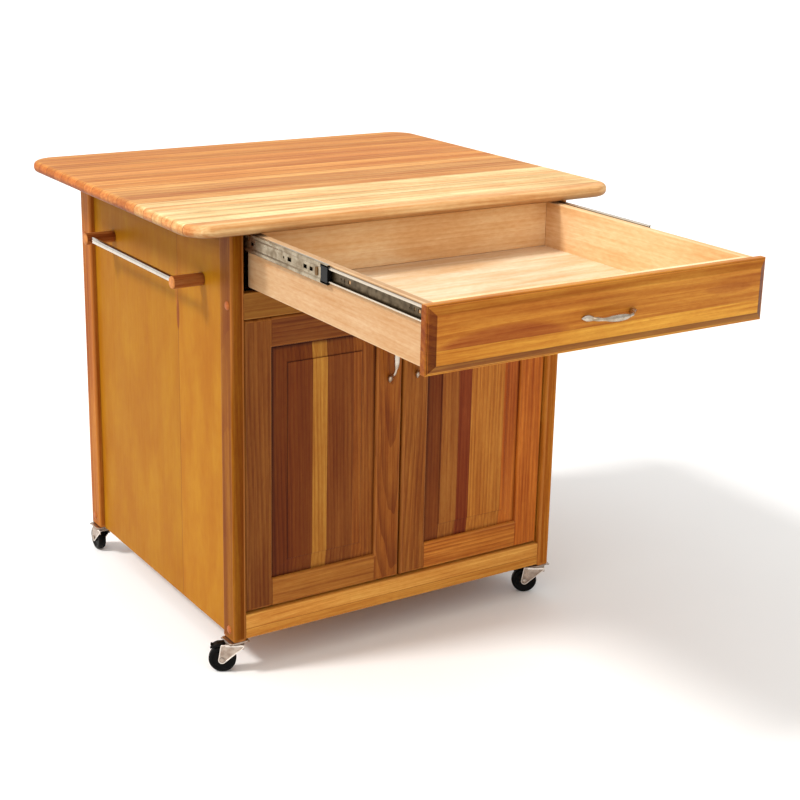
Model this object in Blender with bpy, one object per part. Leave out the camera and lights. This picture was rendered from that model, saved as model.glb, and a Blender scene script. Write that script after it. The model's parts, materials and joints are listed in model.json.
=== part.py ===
"""Kitchen island cart: butcher-block top, one deep drawer, two raised-panel doors, four swivel casters.

Lengths are metres. Work is done in cabinet coordinates: X from the outer face of the left posts,
Y from the front face of the front posts, Z from the floor. add_object shifts it all so that the
origin is under the middle of the cart as it stands with its drawer open.
"""

import math

import bmesh
import bpy
from mathutils import Matrix, Vector

# Overall
HEIGHT = 0.864
CABINET_WIDTH = 0.730
CABINET_DEPTH = 0.680
FIT = 0.0003  # gap left between pieces that touch

# Top
TOP_THICKNESS = 0.022
TOP_CORNER = 0.055
TOP_EDGE_ROUND = 0.0095
OVERHANG_SIDE = 0.0925
OVERHANG_FRONT = 0.040
OVERHANG_BACK = 0.055

# Case
POST_WIDTH = 0.026
POST_DEPTH = 0.045
POST_ROUND = 0.004
PANEL_THICKNESS = 0.015
BACK_THICKNESS = 0.012
BACK_RECESS = 0.011
RAIL_HEIGHT = 0.048
RAIL_THICKNESS = 0.019
RAIL_RECESS = 0.003
BOTTOM_RAIL_LIFT = 0.003
DRAWER_OPENING = 0.112
FLOOR_THICKNESS = 0.018
SHELF_THICKNESS = 0.018
SHELF_LIFT = 0.255  # from the cabinet floor
SHELF_SETBACK = 0.060

# Doors
DOOR_THICKNESS = 0.019
DOOR_RECESS = 0.008
DOOR_GAP = 0.0025
MEETING_GAP = 0.004
STILE = 0.056
DOOR_EDGE_ROUND = 0.006
STICKING = 0.004
GROOVE_WIDTH = 0.006
GROOVE_DEPTH = 0.009
GROOVE_FROM_FRONT = 0.0065
FIELD_RECESS = 0.0015
FIELD_STEP = 0.001
BEVEL_WIDTH = 0.033
DOOR_OPEN_DEG = 95.0
HINGE_INSET = 0.105
HINGE_HEIGHT = 0.014

# Drawer
DRAWER_FRONT_THICKNESS = 0.020
DRAWER_FRONT_EDGE = 0.013
DRAWER_FRONT_STEP = 0.003
DRAWER_FRONT_BEVEL = 0.012
DRAWER_GAP = 0.0025
BOX_BOTTOM_CLEAR = 0.009
BOX_HEIGHT = 0.0985
BOX_WALL = 0.014
BOTTOM_THICKNESS = 0.006
BOTTOM_GROOVE_UP = 0.005
BOTTOM_GROOVE_DEPTH = 0.006

# Slides
SLIDE_LENGTH = 0.559
SLIDE_OVERTRAVEL = 0.015  # how far past its own length each slide runs, as it stands open
BOX_SHORTER = 0.003  # drawer box than slide
SLIDE_SPACE = 0.0127
SLIDE_METAL = 0.0012
SLIDE_OUTER_HEIGHT = 0.037
SLIDE_MIDDLE_HEIGHT = 0.0335
SLIDE_INNER_HEIGHT = 0.025
SLIDE_CENTRE_DROP = 0.0195  # below the underside of the top
MIDDLE_SHARE = 0.535  # how much of the drawer's travel the middle members make

# Pulls
PULL_SPAN = 0.096
PULL_RISE = 0.0245
PULL_INSET = 0.031  # from the middle of the cart to each door pull
PULL_DROP = 0.104  # from the door's top edge to the middle of its pull

# Towel bar
PEG_RADIUS = 0.0118
PEG_LENGTH = 0.061
PEG_FRONT = 0.135
PEG_SPACING = 0.402
BAR_RADIUS = 0.0063
BAR_FROM_END = 0.0125
BAR_DEPTH = 0.008
BAR_DROP = 0.112  # below the underside of the top

# Casters
WHEEL_RADIUS = 0.026
WHEEL_WIDTH = 0.017
WHEEL_CLEAR = 0.003  # between the wheel and the fork's web
CASTER_TRAIL = 0.024
CASTER_INSET_X = 0.013
CASTER_INSET_Y = 0.022
CASTER_PLATE = 0.040
PLATE_METAL = 0.0025
RACE_RADIUS = 0.0185
RACE_DROP = 0.006
FORK_METAL = 0.0022
FORK_SIDE_GAP = 0.0013
AXLE_RADIUS = 0.003
AXLE_CLEARANCE = 0.00005
BRAKE_GAP = 0.0004

# What follows from them
FORK_TOP = 2 * WHEEL_RADIUS + WHEEL_CLEAR + FORK_METAL
PLATE_BOTTOM = FORK_TOP + FIT + RACE_DROP
CASTER_HEIGHT = PLATE_BOTTOM + PLATE_METAL
TOP_UNDERSIDE = HEIGHT - TOP_THICKNESS
INNER_LEFT = POST_WIDTH
INNER_RIGHT = CABINET_WIDTH - POST_WIDTH
CENTRE_X = CABINET_WIDTH / 2
BOTTOM_RAIL_TOP = CASTER_HEIGHT + BOTTOM_RAIL_LIFT + RAIL_HEIGHT
DRAWER_RAIL_TOP = TOP_UNDERSIDE - DRAWER_OPENING
DRAWER_RAIL_BOTTOM = DRAWER_RAIL_TOP - RAIL_HEIGHT
SHELF_HEIGHT = BOTTOM_RAIL_TOP + SHELF_LIFT
BAR_HEIGHT = TOP_UNDERSIDE - BAR_DROP
BOX_LENGTH = SLIDE_LENGTH - BOX_SHORTER
DRAWER_OPEN = SLIDE_LENGTH + SLIDE_OVERTRAVEL
BACK_FACE = CABINET_DEPTH - BACK_RECESS
INNER_BACK = BACK_FACE - BACK_THICKNESS
DOOR_BOTTOM = BOTTOM_RAIL_TOP + DOOR_GAP
DOOR_TOP = DRAWER_RAIL_BOTTOM - DOOR_GAP
FRONT_BACK = DOOR_RECESS + DRAWER_FRONT_THICKNESS  # back of the drawer front, drawer shut
BOX_BOTTOM = DRAWER_RAIL_TOP + BOX_BOTTOM_CLEAR
BOX_TOP = BOX_BOTTOM + BOX_HEIGHT
BOX_LEFT = INNER_LEFT + SLIDE_SPACE
BOX_RIGHT = INNER_RIGHT - SLIDE_SPACE
SLIDE_CENTRE = TOP_UNDERSIDE - SLIDE_CENTRE_DROP
SLIDE_FRONT = FRONT_BACK + 0.002
FORK_INNER = WHEEL_WIDTH / 2 + FORK_SIDE_GAP
FORK_OUTER = FORK_INNER + FORK_METAL

FRONT_MOST = DOOR_RECESS - DRAWER_OPEN - PULL_RISE - 0.0045
BACK_MOST = CABINET_DEPTH + OVERHANG_BACK
TO_ORIGIN = Vector((-CENTRE_X, -(FRONT_MOST + BACK_MOST) / 2, 0))


def new_material(name, colour, roughness, metallic=0.0):
    material = bpy.data.materials.new(name)
    material.use_nodes = True
    shader = material.node_tree.nodes["Principled BSDF"]
    shader.inputs["Base Color"].default_value = (*colour, 1)
    shader.inputs["Roughness"].default_value = roughness
    shader.inputs["Metallic"].default_value = metallic
    material.diffuse_color = (*colour, 1)
    return material


def add_object(name, mesh_data, material, pivot=(0, 0, 0), smooth=False, parent=None):
    """One closed body, its origin at pivot; both are in cabinet coordinates."""
    verts, faces = mesh_data
    centre = Vector(pivot)
    mesh = bpy.data.meshes.new(name)
    mesh.from_pydata([Vector(v) - centre for v in verts], [], faces)
    edit = bmesh.new()
    edit.from_mesh(mesh)
    bmesh.ops.recalc_face_normals(edit, faces=edit.faces)
    edit.to_mesh(mesh)
    edit.free()
    mesh.materials.append(material)
    if smooth:
        mesh.shade_smooth()
    body = bpy.data.objects.new(name, mesh)
    bpy.context.collection.objects.link(body)
    body.matrix_world = Matrix.Translation(centre + TO_ORIGIN)
    if parent is not None:
        body.parent = parent
        body.matrix_parent_inverse = parent.matrix_world.inverted()
    bpy.context.view_layer.update()
    return body


def loft(loops):
    """Skin a list of equally long loops and cap both ends."""
    count = len(loops[0])
    verts = [point for loop in loops for point in loop]
    faces = [tuple(range(count)), tuple(range(len(verts) - count, len(verts)))]
    for level in range(len(loops) - 1):
        for i in range(count):
            j = (i + 1) % count
            a, b = level * count, (level + 1) * count
            faces.append((a + i, a + j, b + j, b + i))
    return verts, faces


def prism(profile, axis, start, end):
    """Extrude a 2D profile along X (y, z), Y (x, z) or Z (x, y)."""
    def at(point, along):
        if axis == "X":
            return (along, point[0], point[1])
        if axis == "Y":
            return (point[0], along, point[1])
        return (point[0], point[1], along)
    return loft([[at(p, along) for p in profile] for along in (start, end)])


def rounded_rectangle(low, high, radius, steps):
    """Outline between two opposite corners, each corner an arc of so many steps."""
    points = []
    corners = ((high[0], high[1], 0), (low[0], high[1], 90), (low[0], low[1], 180), (high[0], low[1], 270))
    for x, y, turn in corners:
        cx = x - radius if x == high[0] else x + radius
        cy = y - radius if y == high[1] else y + radius
        for i in range(steps + 1):
            angle = math.radians(turn + 90 * i / steps)
            points.append((cx + radius * math.cos(angle), cy + radius * math.sin(angle)))
    return points


def board(axis, start, end, low, high, ease=0.0015):
    """A board along an axis with its long arrises eased."""
    return prism(rounded_rectangle(low, high, ease, 1), axis, start, end)


def revolve(profile, centre, axis, steps):
    """Turn (along, radius) pairs about an axis; both ends are small discs."""
    loops = []
    for along, radius in profile:
        loop = []
        for i in range(steps):
            a = 2 * math.pi * i / steps
            c, s = radius * math.cos(a), radius * math.sin(a)
            offset = {"X": (along, c, s), "Y": (c, along, s), "Z": (c, s, along)}[axis]
            loop.append(tuple(centre[k] + offset[k] for k in range(3)))
        loops.append(loop)
    return loft(loops)


def cutter(name, mesh_data, pivot):
    body = add_object(name, mesh_data, cutter_material, pivot)
    body.hide_render = True
    body.display_type = "WIRE"
    return body


def boolean(body, tool, operation):
    """Apply an exact boolean and drop the tool."""
    change = body.modifiers.new(operation.title(), "BOOLEAN")
    change.operation = operation
    change.solver = "EXACT"
    change.object = tool
    bpy.context.view_layer.update()
    depsgraph = bpy.context.evaluated_depsgraph_get()
    result = bpy.data.meshes.new_from_object(body.evaluated_get(depsgraph))
    body.modifiers.clear()
    body.data = result
    bpy.data.objects.remove(tool)


for leftover in list(bpy.data.objects):
    bpy.data.objects.remove(leftover)

cutter_material = new_material("cutter", (0.5, 0.5, 0.5), 0.5)


# Top: a rounded outline, its edge rolled over above and below
def top_loop(inset, z):
    low = (-OVERHANG_SIDE + inset, -OVERHANG_FRONT + inset)
    high = (CABINET_WIDTH + OVERHANG_SIDE - inset, BACK_MOST - inset)
    return [(x, y, z) for x, y in rounded_rectangle(low, high, TOP_CORNER - inset, 7)]


top_loops = []
for i in range(5):
    angle = math.radians(90 * i / 4)
    inset = TOP_EDGE_ROUND * (1 - math.sin(angle))
    top_loops.append(top_loop(inset, TOP_UNDERSIDE + TOP_EDGE_ROUND * (1 - math.cos(angle))))
for i in range(5):
    angle = math.radians(90 * i / 4)
    inset = TOP_EDGE_ROUND * (1 - math.cos(angle))
    top_loops.append(top_loop(inset, HEIGHT - TOP_EDGE_ROUND * (1 - math.sin(angle))))
butcher_material = new_material("butcher_block", (0.78, 0.49, 0.23), 0.42)
add_object("butcher_block_top", loft(top_loops), butcher_material)

# Posts stand at the four corners, up to the underside of the top
post_material = new_material("post_wood", (0.36, 0.14, 0.045), 0.40)
for side, x in (("left", 0.0), ("right", CABINET_WIDTH - POST_WIDTH)):
    for end, y in (("front", 0.0), ("rear", CABINET_DEPTH - POST_DEPTH)):
        outline = rounded_rectangle((x, y), (x + POST_WIDTH, y + POST_DEPTH), POST_ROUND, 3)
        post = prism(outline, "Z", CASTER_HEIGHT, TOP_UNDERSIDE - FIT)
        add_object(f"post_{end}_{side}", post, post_material)

# Side panels are flush with the posts inside and recessed outside
panel_material = new_material("side_panel_wood", (0.56, 0.24, 0.055), 0.42)
for side, x in (("left", INNER_LEFT - PANEL_THICKNESS), ("right", INNER_RIGHT)):
    low = (x, POST_DEPTH + FIT)
    high = (x + PANEL_THICKNESS, CABINET_DEPTH - POST_DEPTH - FIT)
    panel = prism(rounded_rectangle(low, high, 0.0005, 1), "Z", CASTER_HEIGHT, TOP_UNDERSIDE - FIT)
    add_object(f"side_panel_{side}", panel, panel_material)

between = (INNER_LEFT + FIT, INNER_RIGHT - FIT)
back = board("Z", CASTER_HEIGHT, TOP_UNDERSIDE - FIT, (between[0], INNER_BACK), (between[1], BACK_FACE), 0.0005)
add_object("back_panel", back, panel_material)

# Rails, floor and shelf run across between the sides
rail_material = new_material("rail_wood", (0.60, 0.29, 0.09), 0.42)
inner_material = new_material("inner_panel", (0.62, 0.36, 0.15), 0.5)
rail_front, rail_back = RAIL_RECESS, RAIL_RECESS + RAIL_THICKNESS
for name, top in (("front_bottom_rail", BOTTOM_RAIL_TOP), ("front_drawer_rail", DRAWER_RAIL_TOP)):
    rail = board("X", *between, (rail_front, top - RAIL_HEIGHT), (rail_back, top))
    add_object(name, rail, rail_material)
floor_low = (rail_back + FIT, BOTTOM_RAIL_TOP - FLOOR_THICKNESS)
floor = board("X", *between, floor_low, (INNER_BACK - FIT, BOTTOM_RAIL_TOP), 0.0005)
add_object("cabinet_floor", floor, inner_material)
shelf = board("X", *between, (SHELF_SETBACK, SHELF_HEIGHT), (INNER_BACK - FIT, SHELF_HEIGHT + SHELF_THICKNESS))
add_object("adjustable_shelf", shelf, inner_material)

# Towel bar on two turned pegs on the left side panel
peg_material = new_material("peg_wood", (0.34, 0.09, 0.03), 0.35)
chrome = new_material("bar_chrome", (0.80, 0.79, 0.77), 0.15, 1.0)
peg_wall = INNER_LEFT - PANEL_THICKNESS - FIT
peg_tip = peg_wall - PEG_LENGTH
bar_x = peg_tip + BAR_FROM_END
peg_profile = [(0, PEG_RADIUS * 0.90), (-0.004, PEG_RADIUS), (-0.008, PEG_RADIUS * 0.88)]
peg_profile += [(-PEG_LENGTH * 0.5, PEG_RADIUS * 0.90), (-PEG_LENGTH + 0.018, PEG_RADIUS)]
peg_profile += [(-PEG_LENGTH + 0.003, PEG_RADIUS), (-PEG_LENGTH + 0.001, PEG_RADIUS * 0.9)]
peg_profile += [(-PEG_LENGTH, PEG_RADIUS * 0.7)]
rear_peg = PEG_FRONT + PEG_SPACING
for end, y, inward in (("front", PEG_FRONT, 1), ("rear", rear_peg, -1)):
    centre = (peg_wall, y, BAR_HEIGHT)
    peg = add_object(f"towel_bar_standoff_{end}", revolve(peg_profile, centre, "X", 20), peg_material, centre)
    mouth, bottom = y + inward * 2 * PEG_RADIUS, y + inward * (PEG_RADIUS - BAR_DEPTH - FIT)
    hole = [(min(mouth, bottom) - y, BAR_RADIUS + FIT), (max(mouth, bottom) - y, BAR_RADIUS + FIT)]
    boolean(peg, cutter("hole", revolve(hole, (bar_x, y, BAR_HEIGHT), "Y", 20), centre), "DIFFERENCE")
    peg.data.shade_smooth()
bar_ends = (PEG_FRONT + PEG_RADIUS - BAR_DEPTH, rear_peg - PEG_RADIUS + BAR_DEPTH)
bar = revolve([(bar_ends[0], BAR_RADIUS), (bar_ends[1], BAR_RADIUS)], (bar_x, 0, BAR_HEIGHT), "Y", 20)
add_object("towel_bar", bar, chrome, smooth=False)


# Drawer slides: three nested channels each side, drawn for the left and mirrored
def channel(web, lip, half_height):
    """Channel outline (x, z) from its web's outer face to its lips' tips."""
    metal = SLIDE_METAL if lip > web else -SLIDE_METAL
    low, high = SLIDE_CENTRE - half_height, SLIDE_CENTRE + half_height
    return [(web, low), (lip, low), (lip, low + SLIDE_METAL), (web + metal, low + SLIDE_METAL),
            (web + metal, high - SLIDE_METAL), (lip, high - SLIDE_METAL), (lip, high), (web, high)]


def mirrored(profile):
    return [(CABINET_WIDTH - u, v) for u, v in profile]


steel = new_material("slide_steel", (0.62, 0.61, 0.58), 0.3, 1.0)
outer_web = INNER_LEFT + FIT
inner_web = BOX_LEFT - FIT
slide_parts = (
    ("slide_outer", channel(outer_web, outer_web + 0.009, SLIDE_OUTER_HEIGHT / 2), 0),
    ("slide_middle", channel(outer_web + 0.0026, outer_web + 0.0096, SLIDE_MIDDLE_HEIGHT / 2), MIDDLE_SHARE * DRAWER_OPEN),
    ("slide_inner", channel(inner_web, inner_web - 0.0068, SLIDE_INNER_HEIGHT / 2), DRAWER_OPEN),
)
for name, profile, out in slide_parts:
    for side, shape in (("left", profile), ("right", mirrored(profile))):
        run = prism(shape, "Y", SLIDE_FRONT - out, SLIDE_FRONT - out + SLIDE_LENGTH)
        add_object(f"{name}_{side}", run, steel, (shape[0][0], SLIDE_FRONT - out, SLIDE_CENTRE))

# Drawer, drawn open: y_open turns a shut place into the place it has when open
y_open = -DRAWER_OPEN
front_material = new_material("drawer_front_wood", (0.50, 0.22, 0.065), 0.38)
box_material = new_material("drawer_box_wood", (0.86, 0.66, 0.42), 0.5)
front_low = (INNER_LEFT + DRAWER_GAP, DRAWER_RAIL_TOP + DRAWER_GAP)
front_high = (INNER_RIGHT - DRAWER_GAP, TOP_UNDERSIDE - 0.003)


def rectangle_loop(low, high, inset, y):
    x0, z0, x1, z1 = low[0] + inset, low[1] + inset, high[0] - inset, high[1] - inset
    return [(x0, y, z0), (x1, y, z0), (x1, y, z1), (x0, y, z1)]


face = DOOR_RECESS + y_open
front_steps = (
    (0, FRONT_BACK + y_open),
    (0, FRONT_BACK + y_open - DRAWER_FRONT_EDGE),
    (DRAWER_FRONT_STEP, FRONT_BACK + y_open - DRAWER_FRONT_EDGE - 0.0015),
    (DRAWER_FRONT_STEP + DRAWER_FRONT_BEVEL, face),
)
drawer_front = loft([rectangle_loop(front_low, front_high, inset, y) for inset, y in front_steps])
add_object("drawer_front", drawer_front, front_material, (CENTRE_X, face, front_low[1]))

box_front = FRONT_BACK + y_open + FIT
box_back = box_front + BOX_LENGTH
groove_low = BOX_BOTTOM + BOTTOM_GROOVE_UP
groove_high = groove_low + BOTTOM_THICKNESS + 2 * FIT


def grooved(outer, inner):
    """Wall outline with the groove for the drawer bottom in its inner face."""
    deep = inner + math.copysign(BOTTOM_GROOVE_DEPTH, outer - inner)
    return [(outer, BOX_BOTTOM), (inner, BOX_BOTTOM), (inner, groove_low), (deep, groove_low),
            (deep, groove_high), (inner, groove_high), (inner, BOX_TOP), (outer, BOX_TOP)]


side_walls = (("left", BOX_LEFT, BOX_LEFT + BOX_WALL), ("right", BOX_RIGHT, BOX_RIGHT - BOX_WALL))
for side, outer, inner in side_walls:
    add_object(f"drawer_side_{side}", prism(grooved(outer, inner), "Y", box_front, box_back), box_material)
wall_gap = (BOX_LEFT + BOX_WALL + FIT, BOX_RIGHT - BOX_WALL - FIT)
add_object("drawer_box_front", prism(grooved(box_front, box_front + BOX_WALL), "X", *wall_gap), box_material)
back_low = (box_back - BOX_WALL, groove_high)
add_object("drawer_back", board("X", *wall_gap, back_low, (box_back, BOX_TOP), 0.0005), box_material)
into_groove = BOTTOM_GROOVE_DEPTH - FIT
bottom_low = (box_front + BOX_WALL - into_groove, groove_low + FIT)
bottom_high = (box_back, groove_low + FIT + BOTTOM_THICKNESS)
bottom_x = (BOX_LEFT + BOX_WALL - into_groove, BOX_RIGHT - BOX_WALL + into_groove)
add_object("drawer_bottom", board("X", *bottom_x, bottom_low, bottom_high, 0.0004), box_material)

# Pulls: an elliptical arch, thin at its necks and swelling at its feet and middle
nickel = new_material("pull_nickel", (0.66, 0.60, 0.53), 0.3, 1.0)


def pull(centre, upright):
    """Arch on the face at centre; its feet lie along Z if upright, else along X."""
    loops = []
    steps = 16
    for i in range(steps + 1):
        turn = math.pi * i / steps
        away, along = math.sin(turn), -math.cos(turn)
        middle = math.exp(-((along / 0.42) ** 2))
        foot = math.exp(-((away / 0.16) ** 2))
        half_width = 0.0028 + 0.0030 * middle + 0.0034 * foot
        half_depth = 0.0026 + 0.0016 * middle + 0.0044 * foot
        spot = Vector((along * PULL_SPAN / 2, away * PULL_RISE))
        slope = Vector((math.sin(turn) * PULL_SPAN / 2, math.cos(turn) * PULL_RISE)).normalized()
        loop = []
        for k in range(10):
            spin = 2 * math.pi * k / 10
            offset = half_depth * math.cos(spin)
            a = spot.x - slope.y * offset
            out = spot.y + slope.x * offset
            across = half_width * math.sin(spin)
            if i in (0, steps):
                out = 0
            y = centre[1] - FIT - out
            loop.append((centre[0] + across, y, centre[2] + a) if upright else (centre[0] + a, y, centre[2] + across))
        loops.append(loop)
    return loft(loops)


drawer_pull_at = (CENTRE_X, face, (front_low[1] + front_high[1]) / 2)
add_object("drawer_pull", pull(drawer_pull_at, False), nickel, drawer_pull_at, smooth=True)


# Doors: frame of grooved stiles and rails round a raised panel
def frame_profile(outer_round):
    """Frame outline (across from its outer edge, depth from its front face), groove in its inner edge."""
    points = [(0.001, DOOR_THICKNESS), (0, DOOR_THICKNESS - 0.001)]
    for i in range(4):
        angle = math.radians(90 * i / 3)
        points.append((outer_round * (1 - math.cos(angle)), outer_round * (1 - math.sin(angle))))
    for i in range(3):
        angle = math.radians(90 * i / 2)
        points.append((STILE - STICKING * (1 - math.sin(angle)), STICKING * (1 - math.cos(angle))))
    groove_end = GROOVE_FROM_FRONT + GROOVE_WIDTH
    points += [(STILE, GROOVE_FROM_FRONT), (STILE - GROOVE_DEPTH, GROOVE_FROM_FRONT)]
    points += [(STILE - GROOVE_DEPTH, groove_end), (STILE, groove_end)]
    points += [(STILE, DOOR_THICKNESS - 0.001), (STILE - 0.001, DOOR_THICKNESS)]
    return points


door_material = new_material("door_wood", (0.36, 0.15, 0.045), 0.38)
door_panel_material = new_material("door_panel_wood", (0.40, 0.18, 0.06), 0.38)
door_spans = (
    ("left", INNER_LEFT + DOOR_GAP, CENTRE_X - MEETING_GAP / 2, INNER_LEFT + DOOR_GAP / 2, -1),
    ("right", CENTRE_X + MEETING_GAP / 2, INNER_RIGHT - DOOR_GAP, INNER_RIGHT - DOOR_GAP / 2, 1),
)
profile = frame_profile(DOOR_EDGE_ROUND)
for side, x0, x1, hinge_x, hand in door_spans:
    pivot = (hinge_x, DOOR_RECESS, DOOR_BOTTOM)
    stiles = [[(x0 + u, DOOR_RECESS + v) for u, v in profile], [(x1 - u, DOOR_RECESS + v) for u, v in profile]]
    names = ("hinge_stile", "lock_stile") if side == "left" else ("lock_stile", "hinge_stile")
    first = None
    for name, outline in zip(names, stiles):
        stile = add_object(f"door_{side}_{name}", prism(outline, "Z", DOOR_BOTTOM, DOOR_TOP), door_material, pivot)
        first = first or stile
    rail_x = (x0 + STILE + FIT, x1 - STILE - FIT)
    rails = (("bottom_rail", [(DOOR_RECESS + v, DOOR_BOTTOM + u) for u, v in profile]),
             ("top_rail", [(DOOR_RECESS + v, DOOR_TOP - u) for u, v in profile]))
    for name, outline in rails:
        add_object(f"door_{side}_{name}", prism(outline, "X", *rail_x), door_material, pivot)
    reach = GROOVE_DEPTH - 2 * FIT
    low = (x0 + STILE - reach, DOOR_BOTTOM + STILE - reach)
    high = (x1 - STILE + reach, DOOR_TOP - STILE + reach)
    tongue_front = DOOR_RECESS + GROOVE_FROM_FRONT + FIT
    tongue_back = DOOR_RECESS + GROOVE_FROM_FRONT + GROOVE_WIDTH - FIT
    field = DOOR_RECESS + FIELD_RECESS
    panel_steps = ((0, tongue_back), (0, tongue_front), (reach + 0.002, tongue_front),
                   (reach + BEVEL_WIDTH, field + FIELD_STEP), (reach + BEVEL_WIDTH, field))
    panel = loft([rectangle_loop(low, high, inset, y) for inset, y in panel_steps])
    add_object(f"door_{side}_panel", panel, door_panel_material, pivot)
    pull_at = (CENTRE_X + hand * PULL_INSET, DOOR_RECESS, DOOR_TOP - PULL_DROP)
    add_object(f"door_{side}_pull", pull(pull_at, True), nickel, pivot, smooth=True)

# Hinge arms: one above and one below on each side, fixed to the inner faces just behind the doors
behind_door = DOOR_RECESS + DOOR_THICKNESS + 0.002
arm_outline = ((0, 0.024), (0, 0.072), (0.004, 0.072), (0.008, 0.064), (0.014, 0.032),
               (0.018, 0.006), (0.018, 0), (0.011, 0), (0.006, 0.024))
for side, wall, inward in (("left", INNER_LEFT, 1), ("right", INNER_RIGHT, -1)):
    for level, z in (("lower", DOOR_BOTTOM + HINGE_INSET), ("upper", DOOR_TOP - HINGE_INSET)):
        outline = [(wall + inward * (FIT + u), behind_door + v) for u, v in arm_outline]
        arm = prism(outline, "Z", z - HINGE_HEIGHT / 2, z + HINGE_HEIGHT / 2)
        add_object(f"hinge_arm_{side}_{level}", arm, steel, (wall, behind_door, z))

# Casters
zinc = new_material("caster_zinc", (0.60, 0.57, 0.52), 0.32, 1.0)
tyre = new_material("caster_tyre", (0.02, 0.018, 0.016), 0.55)
brake_black = new_material("brake_black", (0.015, 0.014, 0.013), 0.4)


def plate_shape(x, y):
    """Square mounting plate whose underside runs into a round ball race."""
    half = CASTER_PLATE / 2
    square = rounded_rectangle((x - half, y - half), (x + half, y + half), 0.006, 5)
    loops = [[(u, v, z) for u, v in square] for z in (CASTER_HEIGHT - FIT, PLATE_BOTTOM)]
    for radius, z in ((RACE_RADIUS + 0.0015, PLATE_BOTTOM), (RACE_RADIUS, PLATE_BOTTOM - 0.003),
                      (RACE_RADIUS - 0.004, PLATE_BOTTOM - RACE_DROP)):
        ring = []
        for u, v in square:
            away = Vector((u - x, v - y)).normalized() * radius
            ring.append((x + away.x, y + away.y, z))
        loops.append(ring)
    return loft(loops)


def turned(points, x, y, heading):
    """Caster coordinates (along the trail, across, height) to cabinet coordinates."""
    c, s = math.cos(heading), math.sin(heading)
    return [(x + u * c - v * s, y + u * s + v * c, z) for u, v, z in points]


def slab(outline, half_width, x, y, heading):
    """Side-view outline (along, height) given a width across the caster."""
    loops = [[(u, side * half_width, z) for u, z in outline] for side in (-1, 1)]
    return loft([turned(loop, x, y, heading) for loop in loops])


def arc(centre, radius, start, end, steps):
    turns = [math.radians(start + (end - start) * i / steps) for i in range(steps + 1)]
    return [(centre[0] + radius * math.cos(t), centre[1] + radius * math.sin(t)) for t in turns]


axle_at = (CASTER_TRAIL, WHEEL_RADIUS)
fork_outline = [(-0.017, FORK_TOP), (-0.017, FORK_TOP - 0.004)]
fork_outline += arc(axle_at, 0.0075, 222, 360, 7)
fork_outline += [(CASTER_TRAIL + 0.0085, WHEEL_RADIUS + 0.020), (CASTER_TRAIL + 0.0095, FORK_TOP - 0.004)]
fork_outline += [(CASTER_TRAIL - 0.005, FORK_TOP - 0.0005), (CASTER_TRAIL - 0.006, FORK_TOP)]
web_end = CASTER_TRAIL - 0.006
fork_hollow = [(-0.030, 0), (0.080, 0), (0.080, FORK_TOP + 0.01), (web_end, FORK_TOP + 0.01),
               (web_end, FORK_TOP - FORK_METAL), (-0.030, FORK_TOP - FORK_METAL)]
brake_pivot = (CASTER_TRAIL + 0.004, FORK_TOP - 0.0025)
brake_outline = [(web_end + 0.0008, WHEEL_RADIUS * 2 + 0.0014), (CASTER_TRAIL + 0.010, WHEEL_RADIUS * 2 + 0.0010)]
brake_outline += [(CASTER_TRAIL + 0.021, WHEEL_RADIUS * 2 - 0.003), (CASTER_TRAIL + 0.024, WHEEL_RADIUS * 2 - 0.001)]
brake_outline += [(CASTER_TRAIL + 0.024, FORK_TOP - 0.002), (CASTER_TRAIL + 0.015, FORK_TOP + 0.003)]
brake_outline += [(CASTER_TRAIL + 0.010, FORK_TOP + 0.001), (web_end + 0.0008, FORK_TOP)]
half_tread = WHEEL_WIDTH / 2
wheel_profile = [(-FORK_OUTER - 0.0018, AXLE_RADIUS * 1.5), (-FORK_OUTER - FIT, AXLE_RADIUS * 1.7)]
wheel_profile += [(-FORK_OUTER - FIT, AXLE_RADIUS), (-half_tread - 0.001, AXLE_RADIUS)]
wheel_profile += [(-half_tread - 0.001, 0.008), (-half_tread + 0.002, 0.009), (-half_tread + 0.002, 0.019)]
wheel_profile += [(-half_tread, 0.0205), (-half_tread + 0.001, WHEEL_RADIUS - 0.0015)]
wheel_profile += [(-half_tread + 0.004, WHEEL_RADIUS)]
wheel_profile += [(-along, radius) for along, radius in reversed(wheel_profile)]

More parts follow.
